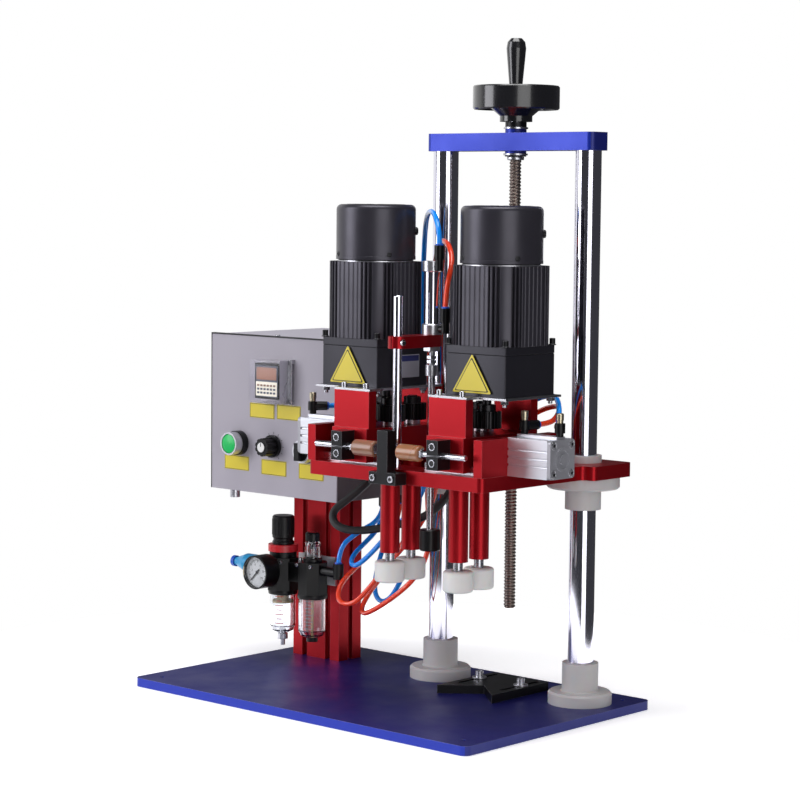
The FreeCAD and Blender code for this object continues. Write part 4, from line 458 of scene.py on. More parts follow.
# Panel timer under its clear cover
# Dark bezel with a brownish display above and a cream keypad with rows of tiny square keys below.
smoked = surface("display_window", (136, 92, 70), 0.3, grain=500, relief=0.02, mottle=0.15, edge=0.2)
bezel_grey = surface("timer_bezel", (62, 68, 84), 0.4, grain=900, relief=0.1)
cream = surface("keypad_cream", (226, 220, 204), 0.5, grain=900, relief=0.06, edge=0.2)
clear = surface("clear_plastic", (244, 246, 250), 0.06, grain=60, relief=0.02, mottle=0.0, edge=0.3,
                Transmission_Weight=1.0, IOR=1.46)
paint("timer_body", black_plastic, silver, rule=lambda spot, normal: 1 if spot.x > -162 else 0)
timer_x, timer_z = LEFT + 113.5, FOOT + 141.5
face = FACE - 16
timer = bmesh.new()
# Bezel, display and keypad: half width, lower and upper edge, corner radius, step forward and thickness
for layer, (half, low, high, corner, ahead, thick) in enumerate((
        (20, -20, 20, 2, 0, 0.5), (17, 2, 17, 1, 0.5, 0.4), (18, -18, -0.5, 1, 0.5, 0.4))):
    rim = rounded(oblong(timer_x - half, timer_x + half, timer_z + low, timer_z + high), corner)
    slab(timer, [(p.x, face - ahead, p.y) for p in rim], (0, -thick, 0), layer)
for row, z in enumerate((timer_z - 5, timer_z - 9.5, timer_z - 14)):
    for column in range(6):
        x = timer_x - 13.75 + 5.5 * column
        brick(timer, (x - 1.6, face - 1.5, z - 1.2), (x + 1.6, face - 0.8, z + 1.2), 0 if row else 3)
# Four zeros on the display, each of six bars
for place in range(4):
    x, z = timer_x - 11.4 + 7.6 * place, timer_z + 9.5
    for dx, dz, w, h in ((0, 4.6, 2.2, 0.45), (0, -4.6, 2.2, 0.45), (-2.2, 2.3, 0.45, 2.2),
                         (2.2, 2.3, 0.45, 2.2), (-2.2, -2.3, 0.45, 2.2), (2.2, -2.3, 0.45, 2.2)):
        brick(timer, (x + dx - w, face - 0.95, z + dz - h), (x + dx + w, face - 0.85, z + dz + h), 4)
digit = surface("display_digit", (148, 96, 82), 0.3, relief=0.02, edge=0.1)
key = surface("key_brown", (128, 98, 82), 0.4, relief=0.04, edge=0.2)
piece("timer_face", timer, "frame", bezel_grey, smoked, cream, key, digit)
thin_clear = surface("timer_cover_clear", (252, 252, 254), 0.03, grain=60, relief=0.01, mottle=0.0, edge=0.3,
                     Transmission_Weight=1.0, IOR=1.12)
paint("timer_cover", thin_clear, silver, rule=lambda spot, normal: 1 if spot.x > -161.6 else 0)


# Panel controls
# Green illuminated push button in a bright ring, fluted black knob with a white cap, black selector.
green = surface("green_lens", (6, 190, 92), 0.38, grain=500, relief=0.03, mottle=0.06,
                Subsurface_Weight=0.2, Subsurface_Scale=0.003, Coat_Weight=0.1)
white_cap = surface("white_cap", (232, 231, 228), 0.4, relief=0.05)
paint("power_button", green)
paint("selector_knob", black_plastic)
paint("torque_knob", black_plastic)
button_x, knob_x, row_z = LEFT + 50.5, LEFT + 109.5, FOOT + 60.5
lit_cap = bmesh.new()
dome = [(11.4, 0), (11.2, 0.5), (8.0, 1.4), (4.0, 1.9), (0, 2.0)]
spun(lit_cap, dome, (button_x, FACE - 19.5, row_z), (0, -1, 0), 0, 48)
piece("button_lens", lit_cap, "power_button", green)
mark = bmesh.new()
spun(mark, [(6.0, 0), (5.8, 0.4), (0, 0.4)], (knob_x, FACE - 22.2, row_z), (0, -1, 0), 1, 40)
brick(mark, (knob_x - 0.5, FACE - 22.75, row_z + 1), (knob_x + 0.5, FACE - 22.55, row_z + 5.4))
piece("knob_mark", mark, "torque_knob", print_and_shade, white_cap)
ticks = bmesh.new()
scale_radius, tick = 15, 2.6
for i in range(11):
    angle = math.radians(-150 + 30 * i)
    way = Vector((math.sin(angle), 0, math.cos(angle)))
    side = Vector((way.z, 0, -way.x)) * 0.35
    start = Vector((knob_x, FACE, row_z)) + way * scale_radius
    end = start + way * tick
    slab(ticks, [start - side, start + side, end + side, end - side], (0, -0.08, 0))
piece("knob_scale", ticks, "frame", print_and_shade)


# Air set
# Black castings with a cyan quick coupling, a red lock ring, a white dial and clear bowls.
casting = surface("black_casting", (9, 9, 10), 0.34, grain=700, relief=0.25, mottle=0.12, edge=0.7,
                  Specular_IOR_Level=0.3)
cyan = surface("coupling_cyan", (36, 158, 214), 0.35, grain=700, relief=0.08, mottle=0.06)
blue_plastic = surface("blue_plastic", (30, 90, 200), 0.35, relief=0.06)
red_plastic = surface("red_plastic", (206, 32, 42), 0.3, relief=0.06, edge=0.6)
brass = surface("nickel_brass", (196, 186, 160), 0.28, metal=1.0, relief=0.08)
tan = surface("filter_tan", (176, 150, 104), 0.75, grain=350, relief=0.5, mottle=0.12)
FILTER_X, OILER_X, BOWL_Y = -215.4, -163.9, 40  # upright axes of the filter regulator and the lubricator


def air_face(spot, normal):
    if spot.x < -298.3:  # ring at the coupling's end
        return 2
    if spot.x < -256.3:  # coupling
        return 1
    if spot.x < -234.5:  # inlet adapter
        return 3
    if spot.y > 59.05:  # bracket
        return 5
    if spot.z > 148.35 and math.hypot(spot.x - FILTER_X, spot.y - BOWL_Y) < 19:  # lock ring
        return 4
    return 0


def bowl_face(spot, normal):
    if spot.y < -7:  # lens of the gauge
        return 0
    if spot.x < -190:  # filter core inside the left bowl
        return 1 if math.hypot(spot.x - FILTER_X, spot.y - BOWL_Y) < 13.3 and spot.z > 83 else 0
    return 2 if spot.z < 44.9 or 139.9 < spot.z < 145.5 else 0


paint("air_set", casting, cyan, blue_plastic, brass, red_plastic, silver, rule=air_face)
paint("air_bowls", clear, tan, black_plastic, rule=bowl_face)
paint("regulator_knob", black_plastic)
paint("drain_valve", silver)
paint("oil_knob", black_plastic)
paint("gauge_needle", print_and_shade)

# Dial of the gauge: white disc with major and minor ticks, plain numbers and a red limit arc
dial_z, print_y = 126, -4.32
first_angle, sweep = -135, 270
dial = bmesh.new()
spun(dial, [(0, 0), (18.9, 0), (18.9, -0.4), (0, -0.4)], (FILTER_X, -4.3, dial_z), (0, -1, 0), 0, 64)
dial_middle = Vector((FILTER_X, print_y, dial_z))
for i in range(51):
    angle = math.radians(first_angle + sweep * i / 50)
    way = Vector((math.sin(angle), 0, math.cos(angle)))
    major = i % 5 == 0
    side = Vector((way.z, 0, -way.x)) * (0.32 if major else 0.16)
    start, end = dial_middle + way * (12.6 if major else 14.2), dial_middle + way * 16
    slab(dial, [start - side, start + side, end + side, end - side], (0, -0.1, 0), 1)
for i in range(14):
    a0, a1 = math.radians(54 + 81 * i / 14), math.radians(54 + 81 * (i + 1) / 14)
    outline = [(FILTER_X + r * math.sin(a), print_y, dial_z + r * math.cos(a)) for r, a in
               ((16.4, a0), (17.6, a0), (17.6, a1), (16.4, a1))]
    slab(dial, outline, (0, -0.1, 0), 2)
piece("gauge_dial", dial, "frame", white_cap, print_and_shade, red_plastic)
for i in range(6):
    angle = math.radians(first_angle + sweep * i / 5)
    words = bpy.data.curves.new("dial_number", "FONT")
    words.body = str(2 * i)
    words.size = 0.0042
    words.align_x, words.align_y = "CENTER", "CENTER"
    words.extrude = 0.00005
    words.materials.append(print_and_shade)
    number = bpy.data.objects.new(f"dial_number_{i}", words)
    number.location = (-0.2154 + 0.0098 * math.sin(angle), -0.00436, 0.126 + 0.0098 * math.cos(angle))
    number.rotation_euler = (math.pi / 2, 0, 0)
    scene.collection.objects.link(number)
    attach(number, "frame")

# Graduations moulded on the bowls: red bars on the left one, fine pale ones on the right
grades = bmesh.new()
facing, bar, proud = math.radians(-62), 0.9, 0.12
for x, r, material, bars in ((FILTER_X, 16.05, 0, 7), (OILER_X, 17.3, 1, 9)):
    for i in range(bars):
        z = 58 + 34 * i / (bars - 1)
        wide = 0.34 if i % 2 == 0 else 0.2
        for k in range(6):
            a0 = facing + (k - 3) * wide / 3
            a1 = a0 + wide / 3
            outline = [(x + r * math.cos(a), BOWL_Y + r * math.sin(a), h) for a, h in
                       ((a0, z), (a1, z), (a1, z + bar), (a0, z + bar))]
            slab(grades, outline, (proud * math.cos(a0), proud * math.sin(a0), 0), material)
grade_red = surface("grade_red", (206, 60, 60), 0.5, relief=0.04)
grade_pale = surface("grade_pale", (150, 150, 160), 0.5, relief=0.04)
piece("bowl_marks", grades, "frame", grade_red, grade_pale)

# Clamp rings over the bowls, bolts, a filler screw, the inner dip tube and fine ribs round the regulator knob
trim = bmesh.new()
for x, r in ((FILTER_X, 18.2), (OILER_X, 18.6)):
    band = [(r - 1.8, 99.5), (r, 99.5), (r + 0.3, 97.5), (r, 94.6), (r - 1.6, 94.0)]
    spun(trim, band, (x, BOWL_Y, 0), (0, 0, 1), 0, 48)
for x in (FILTER_X, OILER_X):
    for dx in (-11.5, 11.5):
        cap_screw(trim, (x + dx, BOWL_Y - 15.2, 136), (0, -1, 0), 4.4, 2.4, 1, 2)
cap_screw(trim, (-178.5, 33, 140), (0, 0, 1), 5.2, 4.2, 1, 2)
spun(trim, [(0, 46), (1.7, 46), (1.7, 104), (0, 104)], (OILER_X, BOWL_Y, 0), (0, 0, 1), 3, 20)
ribs, half_rib, upwards = 24, 0.55, Vector((0, 0, 20))
for i in range(ribs):
    angle = 2 * math.pi * i / ribs
    way = Vector((math.cos(angle), math.sin(angle), 0))
    side = Vector((-way.y, way.x, 0)) * half_rib
    base = Vector((FILTER_X, BOWL_Y, 169)) + way * 13.6
    slab(trim, [base - side, base + side, base + side + upwards, base - side + upwards], way * half_rib, 4)
piece("air_trim", trim, "frame", casting, silver, print_and_shade, tan, black_plastic)


# Bottle guide
# Black anodised V block under two cap screws with washers.
paint("guide_block", black_steel)
paint("guide_bolts", silver)


# Lead screw, handwheel and handle
# Rolled trapezoidal thread, brownish from its oil; glossy black phenolic wheel and turned handle.
screw_steel = surface("thread_steel", (140, 128, 120), 0.34, metal=0.9, grain=900, relief=0.2, mottle=0.16)
phenolic = surface("black_phenolic", (27, 27, 30), 0.22, grain=400, relief=0.05, mottle=0.1, edge=0.9,
                   Coat_Weight=0.6, Coat_Roughness=0.08)
thread = bmesh.new()
lead, rows, sides = 4.0, 6, 24
low, high = 109.2, 636.0
outer_radius, full_depth = 7.0, 1.25
count = int((high - low) / lead * rows)
previous = None
for k in range(count + 1):
    z = low + (high - low) * k / count
    ring = []
    for i in range(sides):
        turn = (z / lead - i / sides) % 1
        r = outer_radius - full_depth * min(1, max(0, 3 * abs(turn - 0.5) - 0.35))
        angle = 2 * math.pi * i / sides
        ring.append(thread.verts.new((SCREW_X + r * math.cos(angle), SCREW_Y + r * math.sin(angle), z)))
    if previous:
        for i in range(sides):
            j = (i + 1) % sides
            thread.faces.new([previous[i], previous[j], ring[j], ring[i]])
    else:
        thread.faces.new(ring[::-1])
    previous = ring
spun(thread, [(0, 0), (5.4, 0), (5.9, 0.9)], (SCREW_X, SCREW_Y, 108.5), (0, 0, 1), 0, 24)
spun(thread, [(7, -1), (9.8, -0.6), (10, 0), (10, 2.4), (9.7, 3), (7, 3), (7, 60), (0, 60)],
     (SCREW_X, SCREW_Y, 636.7), (0, 0, 1), 1, 40)
piece("thread", thread, "screw", screw_steel, steel, angle=60, node="lead_screw")
paint("handwheel", phenolic)
paint("wheel_handle", phenolic)


# Lifting head: plate, bushes, rails and post
# Red anodised plate on nylon bushes, with ground rails and a polished post at the front.
bronze = surface("bronze", (176, 132, 84), 0.36, metal=0.9, relief=0.12, mottle=0.1)
paint("head_plate", red)
paint("head_bushes", nylon, bronze, rule=lambda spot, normal: 1 if abs(spot.x - SCREW_X) < 23 else 0)
POST_X, POST_Y = 107.3, -107.6
paint("slide_rails", steel, chrome,
      rule=lambda spot, normal: 1 if math.hypot(spot.x - POST_X, spot.y - POST_Y) < 5.3 else 0)


# Clamp cylinders with their fittings
# Clear anodised extrusions with side grooves, bolted end caps and black elbows with knurled flow knobs.
aluminium = surface("clear_anodised", (214, 216, 222), 0.34, metal=0.75, grain=1300, relief=0.1, mottle=0.04,
                    stretch=(0.15, 1, 1))
cap_metal = surface("cap_metal", (166, 166, 172), 0.42, metal=0.45, grain=1100, relief=0.12, mottle=0.06,
                    wear=0.4)
paint("clamp_cylinders", aluminium, cap_metal,
      rule=lambda spot, normal: 1 if not -75.8 < spot.x < 292.9 else 0)
paint("port_elbows", black_plastic)
for side in ("left", "right"):
    for where in ("inner", "outer"):
        paint(f"flow_knob_{side}_{where}", brass)
UNIT_LEFT, UNIT_RIGHT = 61.7, 164.2  # inner ends of the two clamping units
CYLINDER_Y, CYLINDER_Z = -52, 311.8
inner_cap, tube, outer_cap = 12, 54.4, 4.5
bolts = bmesh.new()
for sign, outer in ((-1, UNIT_LEFT - 71.2 - inner_cap - tube - outer_cap),
                    (1, UNIT_RIGHT + 62.4 + inner_cap + tube + outer_cap)):
    for dy in (-15.6, 15.6):
        for dz in (-15.6, 15.6):
            at = (outer, CYLINDER_Y + dy, CYLINDER_Z + dz)
            spun(bolts, [(4.6, 0), (4.6, 0.5), (4.1, 0.7), (3.7, 0.3)], at, (sign, 0, 0), 0, 28)
            # The dark ring under each head and the dark socket are painted shade
            spun(bolts, [(3.7, 0.3), (3.7, 0.08), (3.3, 0.08)], at, (sign, 0, 0), 1, 28)
            spun(bolts, [(3.3, 0.1), (3.3, 0.9), (2.9, 1.1), (1.7, 1.1)], at, (sign, 0, 0), 0, 24)
            spun(bolts, [(1.7, 1.1), (1.6, 0.3), (0, 0.3)], at, (sign, 0, 0), 1, 6)
piece("cylinder_bolts", bolts, "head", silver, print_and_shade)

# Release rings of the push-in fittings
# A short blue collar stands out of each socket round its hose.
collars = {"head": bmesh.new(), "arm": bmesh.new(), "frame": bmesh.new()}


def collar(body, at, axis):
    spun(collars[body], [(3.05, -1.5), (4.4, -1.5), (4.6, 1.0), (4.2, 1.8), (3.05, 1.8)], at, axis, 0, 28)


elbow_z, elbow_reach = 345.25, 17
for sign, base_x, ports in ((-1, UNIT_LEFT, (89.0, 138.0)), (1, UNIT_RIGHT, (80.2, 129.2))):
    for u, way in zip(ports, ((0.35, 0.94, 0), (-0.67, 0.74, 0))):
        length = math.hypot(way[0], way[1])
        way = Vector((sign * way[0] / length, way[1] / length, 0))
        collar("head", Vector((base_x + sign * u, CYLINDER_Y, elbow_z)) + way * elbow_reach, way)
for y in (28, 46):
    for sign in (-1, 1):
        collar("head", (36 + sign * 12, y, 303), (sign, 0, 0))
for x in (16, 28):
    collar("head", (x, 37, 332), (0, 0, 1))
    collar("head", (x, 37, 314), (0, 0, -1))
for x, y in ((-92, 90), (-100, 130), (-112, 112), (-95, 152), (-118, 142)):
    collar("frame", (x, y, 212.2), (0, 0, -1))
collar("frame", (-119.9, 40, 142), (0, 0, 1))
collar("arm", (126.8, -50, 468), (0, 0, 1))
collar("arm", (122.7, -56.6, 538.5), (0, 0, 1))
for body, mesh in collars.items():
    piece("release_rings_" + body, mesh, body, blue_plastic)


# Stop block and its screws
# Black T block on the plate's front edge, held by two dark screws.
paint("stop_block", black_steel)
stop = bmesh.new()
block_x, spacing = 110.05, 13.5
for x in (block_x - spacing, block_x + spacing):
    cap_screw(stop, (x, -134.8, 281.8), (0, -1, 0), 8, 2.2)
piece("stop_block_screws", stop, "head", steel, print_and_shade)


# Press arm and small cylinder
# Red arm clamped on the post; bright cylinder with black elbows, lock nuts, floating joint and push rod.
paint("press_arm", red)
paint("press_cylinder", silver, chrome, rule=lambda spot, normal: 1 if 450.5 < spot.z < 508 else 0)
paint("press_elbows", black_plastic)


def rod_face(spot, normal):
    if spot.z < 217:
        return 1
    return 2 if 390 < spot.z < 404.6 else 0


paint("press_rod", steel, black_plastic, silver, rule=rod_face)
clamp = bmesh.new()
cap_screw(clamp, (POST_X + 11, -112, 431.2), (1, 0, 0), 7, 2.5)
piece("arm_screw", clamp, "arm", steel, print_and_shade)


# Clamping units
# Red carriage blocks, bright motor plates, dark gearheads and satin dark grey finned motors, left and right.
motor_paint = surface("motor_paint", (64, 62, 70), 0.34, metal=0.5, grain=1000, relief=0.12, mottle=0.06,
                      edge=0.8)
gear_paint = surface("gearhead_paint", (46, 45, 52), 0.34, metal=0.45, grain=900, relief=0.12, mottle=0.08,
                     edge=0.9)
plate_steel = surface("plate_steel", (176, 176, 180), 0.3, metal=1.0, grain=1100, relief=0.1)
gear_steel = surface("gear_steel", (44, 43, 45), 0.3, metal=0.8, grain=900, relief=0.15, mottle=0.12)
amber = surface("bumper_amber", (184, 126, 86), 0.28, grain=300, relief=0.08, mottle=0.1, edge=1.0,
                Subsurface_Weight=0.35, Subsurface_Scale=0.006, Transmission_Weight=0.3, Coat_Weight=0.3)
milky = surface("bumper_milky", (168, 120, 94), 0.32, grain=300, relief=0.08, mottle=0.08, edge=1.0,
                Subsurface_Weight=0.35, Subsurface_Scale=0.006, Transmission_Weight=0.3, Coat_Weight=0.3)
grip = surface("grip_white", (226, 225, 222), 0.6, grain=600, relief=0.2, mottle=0.04, edge=1.4,
               Subsurface_Weight=0.3, Subsurface_Scale=0.004)
# Near-black that paints the shade in the motor's gaps and air slots
gap_shade = surface("painted_gap_shade", (9, 9, 11), 0.7, grain=900, relief=0.1)
MOTOR_OUT, MOTOR_Y = 42.2, -49  # the motors' axes, outwards from the units' inner ends
STRAIGHT, CORNER = 19, 26  # half of the flat on each side of the motor frame, and its corner radius
QUARTER = 2 * STRAIGHT + math.pi / 2 * CORNER


def frame_edge(distance, inset, x, y):
    # Point on the motor frame's rounded square, measured along its edge from the middle of the front face
    quarter, rest = divmod(distance + QUARTER / 2, QUARTER)
    rest -= QUARTER / 2
    if abs(rest) <= STRAIGHT:
        local = Vector((rest, -(STRAIGHT + CORNER) + inset))
    else:
        turn = (abs(rest) - STRAIGHT) / CORNER
        r = CORNER - inset
        local = Vector((STRAIGHT + r * math.sin(turn), -STRAIGHT - r * math.cos(turn)))
        local.x *= math.copysign(1, rest)
    for _ in range(int(quarter) % 4):
        local = Vector((-local.y, local.x))
    return x + local.x, y + local.y


def motor_shape(mesh, x, y):
    # Gearhead with its flange, ribbed frame and the fan cover with a drawn edge and air slots; the thin gaps
    # between them and the air slots are near-black painted shade
    for half, corner, z, height, material in ((44.4, 3, 376.5, 45.4, 1), (45, 3.5, 422.5, 8.7, 1),
                                              (43.8, 3, 421.9, 0.6, 2)):
        rim = rounded(oblong(x - half, x + half, y - half, y + half), corner, 5)
        slab(mesh, [(p.x, p.y, z) for p in rim], (0, 0, height), material)
    outline = []
    for quarter in range(4):
        centre = quarter * QUARTER
        marks = []
        for offset, width, depth in ((-31, 3.4, 5), (-25.4, 3.4, 5), (-19.8, 2.6, 4), (-13.6, 1.2, 0.9),
                                     (-7, 1.2, 0.9), (0, 1.2, 0.9), (7, 1.2, 0.9), (13.6, 1.2, 0.9),
                                     (19.8, 2.6, 4), (25.4, 3.4, 5), (31, 3.4, 5)):
            half = width / 2
            marks += [(offset - half - 0.5, 0), (offset - half, 0.5), (offset - half + 0.3, depth),
                      (offset + half - 0.3, depth), (offset + half, 0.5), (offset + half + 0.5, 0)]
        marks += [(34 + 1.8 * k, 0) for k in range(7)]
        outline += [frame_edge(centre + offset, inset, x, y) for offset, inset in marks]
    slab(mesh, [(px, py, 431.2) for px, py in outline], (0, 0, 87.0), 0)
    spun(mesh, [(0, 518.2), (43.4, 518.2), (43.4, 519.4), (0, 519.4)], (x, y, 0), (0, 0, 1), 3, 72)
    cup = [(0, 520.2), (44.6, 520.2), (45.75, 520.4), (45.75, 524), (45.5, 524.4), (45.5, 577)]
    cup += [(39.7 + 5.8 * math.cos(a), 577.2 + 5.8 * math.sin(a)) for a in (0.3, 0.6, 0.9, 1.2, math.pi / 2)]
    spun(mesh, cup + [(30, 583.3), (12, 583.4), (0, 583.4)], (x, y, 0), (0, 0, 1), 0, 96)
    spun(mesh, [(0, 519.4), (42.4, 519.4), (42.4, 520.3), (0, 520.3)], (x, y, 0), (0, 0, 1), 2, 72)
    # Air slots drawn as near-black painted shade
    for i in range(12):
        turn = math.pi / 6 * i
        way = Vector((math.cos(turn), math.sin(turn), 0))
        across = Vector((-way.y, way.x, 0)) * 1.5
        start, end = Vector((x, y, 583.38)) + way * 14, Vector((x, y, 583.38)) + way * 34
        slab(mesh, [start - across, start + across, end + across, end - across], (0, 0, 0.1), 2)


def spindle_face(spot, normal):
    # Grip wheel at the foot, gear near the top
    if spot.z < 177.7:
        return 1
    return 2 if 337.9 < spot.z < 364.1 else 0


STOP_Y, STOP_Z = -126.55, 312.5
for side, base_x, sign, tip, bumper, plate_shift in (("left", UNIT_LEFT, -1, -32.5, milky, 1),
                                                     ("right", UNIT_RIGHT, 1, -35.6, amber, 3)):
    motor_x = base_x + sign * MOTOR_OUT
    shape = bmesh.new()
    motor_shape(shape, motor_x, MOTOR_Y)
    piece(f"motor_{side}", shape, f"carriage_{side}", motor_paint, gear_paint, gap_shade, silver,
          bevel=0.5, angle=26, node=f"gearmotor_{side}")

    def stop_face(spot, normal):
        # Bumper over the screw's inner end, told by its length and by being thicker than the screw
        u = sign * (spot.x - base_x)
        reach = math.hypot(spot.y - STOP_Y, spot.z - STOP_Z)
        return 1 if u < tip + 32.01 and reach > 3.7 else 0

    paint(f"carriage_{side}", red)
    paint(f"motor_mount_{side}", plate_steel, chrome, rule=lambda spot, normal: 0 if spot.z > 373 else 1)
    paint(f"stop_clamp_{side}", black_steel)
    paint(f"stop_screw_{side}", steel, bumper, rule=stop_face)
    paint(f"pinion_{side}", gear_steel)
    for end in ("front", "back"):
        paint(f"spindle_{side}_{end}", steel, grip, gear_steel, rule=spindle_face)

    # Screws of the gearhead's flange and of the fan cover, the cover's plug, and nuts under the motor plate
    dress = bmesh.new()
    for dx, dy in ((-40.5, -40.5), (40.5, -40.5), (40.5, 40.5), (-40.5, 40.5)):
        spun(dress, [(4.2, 0), (4.2, 1), (3.2, 1.2)], (motor_x + dx, MOTOR_Y + dy, 431.2), (0, 0, 1), 1, 24)
        cap_screw(dress, (motor_x + dx, MOTOR_Y + dy, 432.2), (0, 0, 1), 6.6, 6.6, 1, 2)
    for angle in (-118, -28, 62, 152):
        way = Vector((math.cos(math.radians(angle)), math.sin(math.radians(angle)), 0))
        at = Vector((motor_x, MOTOR_Y, 526.5)) + way * 45.4
        spun(dress, [(3.0, 0), (2.9, 0.5), (2.3, 0.8), (1.5, 0.8)], at, way, 1, 24)
        # Dark socket of each cover screw is painted shade
        spun(dress, [(1.5, 0.8), (1.4, 0.3), (0, 0.3)], at, way, 2, 6)
    way = Vector((0.80, 0.60, 0))
    plug = [(4.6, 0), (4.6, 1.2), (4.0, 2.6), (2.6, 3.2), (0, 3.2)]
    spun(dress, plug, Vector((motor_x, MOTOR_Y, 553)) + way * 45.3, way, 1, 28)
    for x in (motor_x - 39.5, motor_x + 39.5):
        for y in (MOTOR_Y - 39.5, MOTOR_Y + 39.5):
            spun(dress, [(4.8, 0), (4.8, 0.9), (0, 0.9)], (x, y, 374), (0, 0, -1), 0, 24)
            hex_nut(dress, (x, y, 373.1), (0, 0, -1), 7.6, 3.6)
            spun(dress, [(2.5, 0), (2.5, 2.6), (2.1, 3), (0, 3)], (x, y, 369.5), (0, 0, -1), 0, 20)

    # Screws of the motor plate and of the stop clamp
    for u in (3.5, 36.5):
        for dy in (-57, 57):
            cap_screw(dress, (base_x + sign * u, MOTOR_Y + dy, 376.5), (0, 0, 1), 6.6, 6.0, 0, 2)
    for z in (322.5, 304.5):
        at = (base_x + sign * 20, -136.05, z)
        spun(dress, [(0, 0), (4.3, 0), (4.3, 0.8), (3.2, 0.8)], at, (0, -1, 0), 0, 28)
        # Dark socket of each clamp screw is painted shade
        spun(dress, [(3.2, 0.8), (3.0, 0.3), (0, 0.3)], at, (0, -1, 0), 2, 6)

    # Blank triangle on the gearhead: yellow plate, dark line and yellow field
    middle = motor_x - plate_shift
    for share, lift, material in ((1, 0, 3), (0.86, 0.45, 2), (0.80, 0.5, 3)):
        corners = [(middle + dx * share, 394 + dz * share)
                   for dx, dz in ((-33.5, -17), (33.5, -17), (0, 34.5))]
        rim = rounded(corners, 4.2 * share, 6)
        slab(dress, [(p.x, -93.4 - lift, p.y) for p in rim], (0, -0.45, 0), material)
    piece(f"unit_dress_{side}", dress, f"carriage_{side}", steel, black_steel, print_and_shade, yellow)

# Blank rating plate on the left gearhead's inner face, silver with a dark blue band along its top
rating = bmesh.new()
outline = rounded(oblong(-68, -22, 386, 413), 1.4)
slab(rating, [(UNIT_LEFT - MOTOR_OUT + 44.4, p.x, p.y) for p in outline], (0.4, 0, 0), 0)
brick(rating, (64.3, -66.5, 405), (64.42, -23.5, 411.5), 1)
plate_blue = surface("plate_blue", (40, 48, 110), 0.4, relief=0.04)
piece("rating_plate", rating, "carriage_left", silver, plate_blue)


# Hoses and cable
# Red and blue polyurethane tubes hang in loose loops from the control box up to the head, and a black cable
# rises through its gland; on the head shorter tubes run to the clamp cylinders and the small cylinder.
tube_red = surface("hose_red", (255, 72, 36), 0.2, grain=300, relief=0.03, mottle=0.05, edge=0.3,
                   Subsurface_Weight=0.3, Subsurface_Scale=0.003, Coat_Weight=0.4)
tube_blue = surface("hose_blue", (10, 148, 255), 0.2, grain=300, relief=0.03, mottle=0.05, edge=0.3,
                    Subsurface_Weight=0.3, Subsurface_Scale=0.003, Coat_Weight=0.4)
rubber = surface("cable_black", (24, 24, 26), 0.5, grain=700, relief=0.2, mottle=0.1, edge=0.3)


def route(name, points):
    line = bpy.data.curves.new(name, "CURVE")
    line.dimensions = "3D"
    line.resolution_u = 10
    spline = line.splines.new("NURBS")
    spline.points.add(len(points) - 1)
    for spot, point in zip(spline.points, points):
        spot.co = (point[0] / 1000, point[1] / 1000, point[2] / 1000, 1)
    spline.order_u = 3
    spline.use_endpoint_u = True
    made = bpy.data.objects.new(name, line)
    scene.collection.objects.link(made)
    return made


def still_hose(name, points, material, body, node, diameter=6.0):
    made = route(name, points)
    made.data.bevel_depth = diameter / 2000
    made.data.bevel_resolution = 6
    made.data.use_fill_caps = True
    made.data.materials.append(material)
    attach(made, body)
    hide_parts(node)


def moving_hose(name, points, material, node, diameter=6.0):
    # Tube swept along the spline's own line into a mesh in world place, tied to neither of the two bodies it
    # joins
    sides = 16
    line = route(name + "_line", points)
    bpy.context.view_layer.update()
    drawn = bpy.data.meshes.new_from_object(line)
    path = [v.co.copy() for v in drawn.vertices]
    bpy.data.objects.remove(line)
    mesh = bmesh.new()
    rings = []
    across = None
    for i, point in enumerate(path):
        ahead = (path[min(i + 1, len(path) - 1)] - path[max(i - 1, 0)]).normalized()
        across = ahead.orthogonal() if across is None else across - across.dot(ahead) * ahead
        across.normalize()
        other = ahead.cross(across)
        ring = []
        for k in range(sides):
            angle = 2 * math.pi * k / sides
            offset = (across * math.cos(angle) + other * math.sin(angle)) * (diameter / 2000)
            ring.append(mesh.verts.new(point + offset))
        rings.append(ring)
    for low, high in zip(rings, rings[1:]):
        for k in range(sides):
            j = (k + 1) % sides
            mesh.faces.new([low[k], low[j], high[j], high[k]])
    mesh.faces.new(rings[0][::-1])
    mesh.faces.new(rings[-1])
    bmesh.ops.scale(mesh, vec=(1000, 1000, 1000), verts=mesh.verts[:])
    made = piece(name, mesh, None, material, angle=60)
    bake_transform(made)
    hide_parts(node)


still_hose("supply_tube", [
    (-119.9, 40, 135), (-119.9, 40, 160), (-110.9, 58, 178), (-92, 90, 196.2), (-92, 90, 218.2),
], tube_blue, "frame", "supply_hose")

moving_hose("clamp_tube_red", [
    (-100, 130, 218.2), (-100, 130, 196.2), (-102, 110, 172), (-104, 82, 152), (-107, 54, 136),
    (-107, 31, 121), (-100, 17, 107), (-84, 9, 100), (-66, 11, 103), (-53, 20, 119), (-40, 33, 143),
    (-20, 44, 170), (5, 50, 202), (28, 47, 234), (36, 46, 266), (36, 46, 299),
], tube_red, "feed_red")
moving_hose("clamp_tube_blue", [
    (-112, 112, 218.2), (-112, 112, 196.2), (-110, 98, 178), (-107, 72, 165), (-103, 48, 154), (-90, 30, 146),
    (-71, 20, 147), (-52, 21, 161), (-30, 24, 184), (-4, 27, 208), (20, 26, 232), (34, 26, 256),
    (36, 28, 280), (36, 28, 299),
], tube_blue, "feed_blue")
moving_hose("press_tube_red", [
    (-95, 152, 218.2), (-95, 152, 196.2), (-90, 132, 172), (-82, 104, 150), (-77, 76, 130), (-77, 50, 111),
    (-70, 28, 95), (-52, 12, 91), (-24, 3, 102), (6, 1, 120), (31, 8, 142), (41, 22, 170), (36, 32, 202),
    (29, 34, 232), (28, 37, 270), (28, 37, 319),
], tube_red, "feed_red")
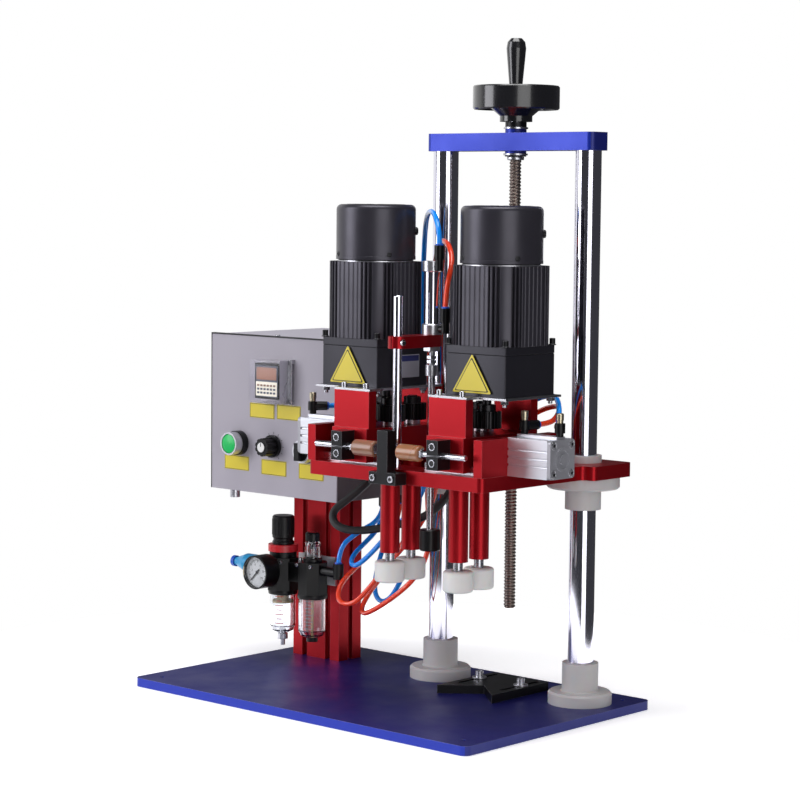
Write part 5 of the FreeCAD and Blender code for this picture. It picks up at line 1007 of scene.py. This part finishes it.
moving_hose("press_tube_blue", [
    (-118, 142, 218.2), (-118, 142, 196.2), (-117, 128, 174), (-113, 110, 148), (-106, 92, 122),
    (-92, 76, 103), (-70, 64, 97), (-48, 57, 106), (-28, 51, 128), (-10, 45, 156), (6, 40, 186),
    (15, 35, 220), (16, 37, 262), (16, 37, 319),
], tube_blue, "feed_blue")
moving_hose("motor_lead", [
    (-77.6, 46, 296), (-57.6, 46, 296), (-45, 38, 282), (-42, 22, 262), (-50, 5, 245), (-62, -9, 230),
    (-73, -20, 218), (-67, -26, 204), (-48, -23, 197), (-26, -12, 198), (-4, -1, 203), (17, 9, 209),
    (38, 18, 217), (55, 28, 232), (65, 38, 252), (66, 40, 274), (66, 40, 295.5),
], rubber, "motor_cable", 9.5)
still_hose("right_tube_red", [
    (43, 46, 303), (67, 46, 303), (96, 46, 310), (132, 44, 324), (168, 41, 340), (204, 34, 356),
    (236, 20, 362), (252, -2, 354), (255.6, -21.9, 345.2), (248.2, -41.7, 345.2),
], tube_red, "head", "clamp_hoses_red")
still_hose("left_tube_red", [
    (29, 46, 303), (5, 46, 303), (-10, 40, 314), (-28, 24, 330), (-38, 2, 340), (-38.5, -21.9, 345.2),
    (-31.1, -41.7, 345.2),
], tube_red, "head", "clamp_hoses_red")
still_hose("right_tube_blue", [
    (43, 28, 303), (67, 28, 303), (98, 28, 315), (134, 28, 333), (170, 28, 354), (204, 25, 369),
    (232, 16, 374), (252, 0, 364), (272, -28.3, 345.2), (286, -43.9, 345.2),
], tube_blue, "head", "clamp_hoses_blue")
still_hose("left_tube_blue", [
    (29, 28, 303), (5, 28, 303), (-9, 25, 322), (-26, 14, 342), (-42, -6, 352), (-54.9, -28.3, 345.2),
    (-68.9, -43.9, 345.2),
], tube_blue, "head", "clamp_hoses_blue")
moving_hose("upper_tube_blue", [
    (16, 37, 327), (16, 37, 363), (14, 39, 404), (13, 41, 444), (13, 40, 484), (18, 36, 522), (32, 22, 556),
    (58, -4, 573), (88, -30, 577), (110, -48, 569), (122.7, -56.6, 551.5), (122.7, -56.6, 531.5),
], tube_blue, "press_hose_blue")
moving_hose("upper_tube_red", [
    (28, 37, 327), (28, 37, 363), (27, 38, 402), (26, 39, 440), (28, 39, 476), (36, 34, 508), (54, 19, 532),
    (80, -3, 544), (106, -20, 538), (123, -34, 520), (126.8, -50, 487), (126.8, -50, 461),
], tube_red, "press_hose_red")

# Tapered grommet where the cable leaves the control box
relief = bmesh.new()
taper = [(4.85, 0), (7.4, 0), (7.2, 4), (6.0, 10), (5.3, 16), (4.85, 20)]
spun(relief, taper, (-71, 46, 296), (1, 0, 0), 0, 32)
piece("cable_relief", relief, "frame", black_plastic)
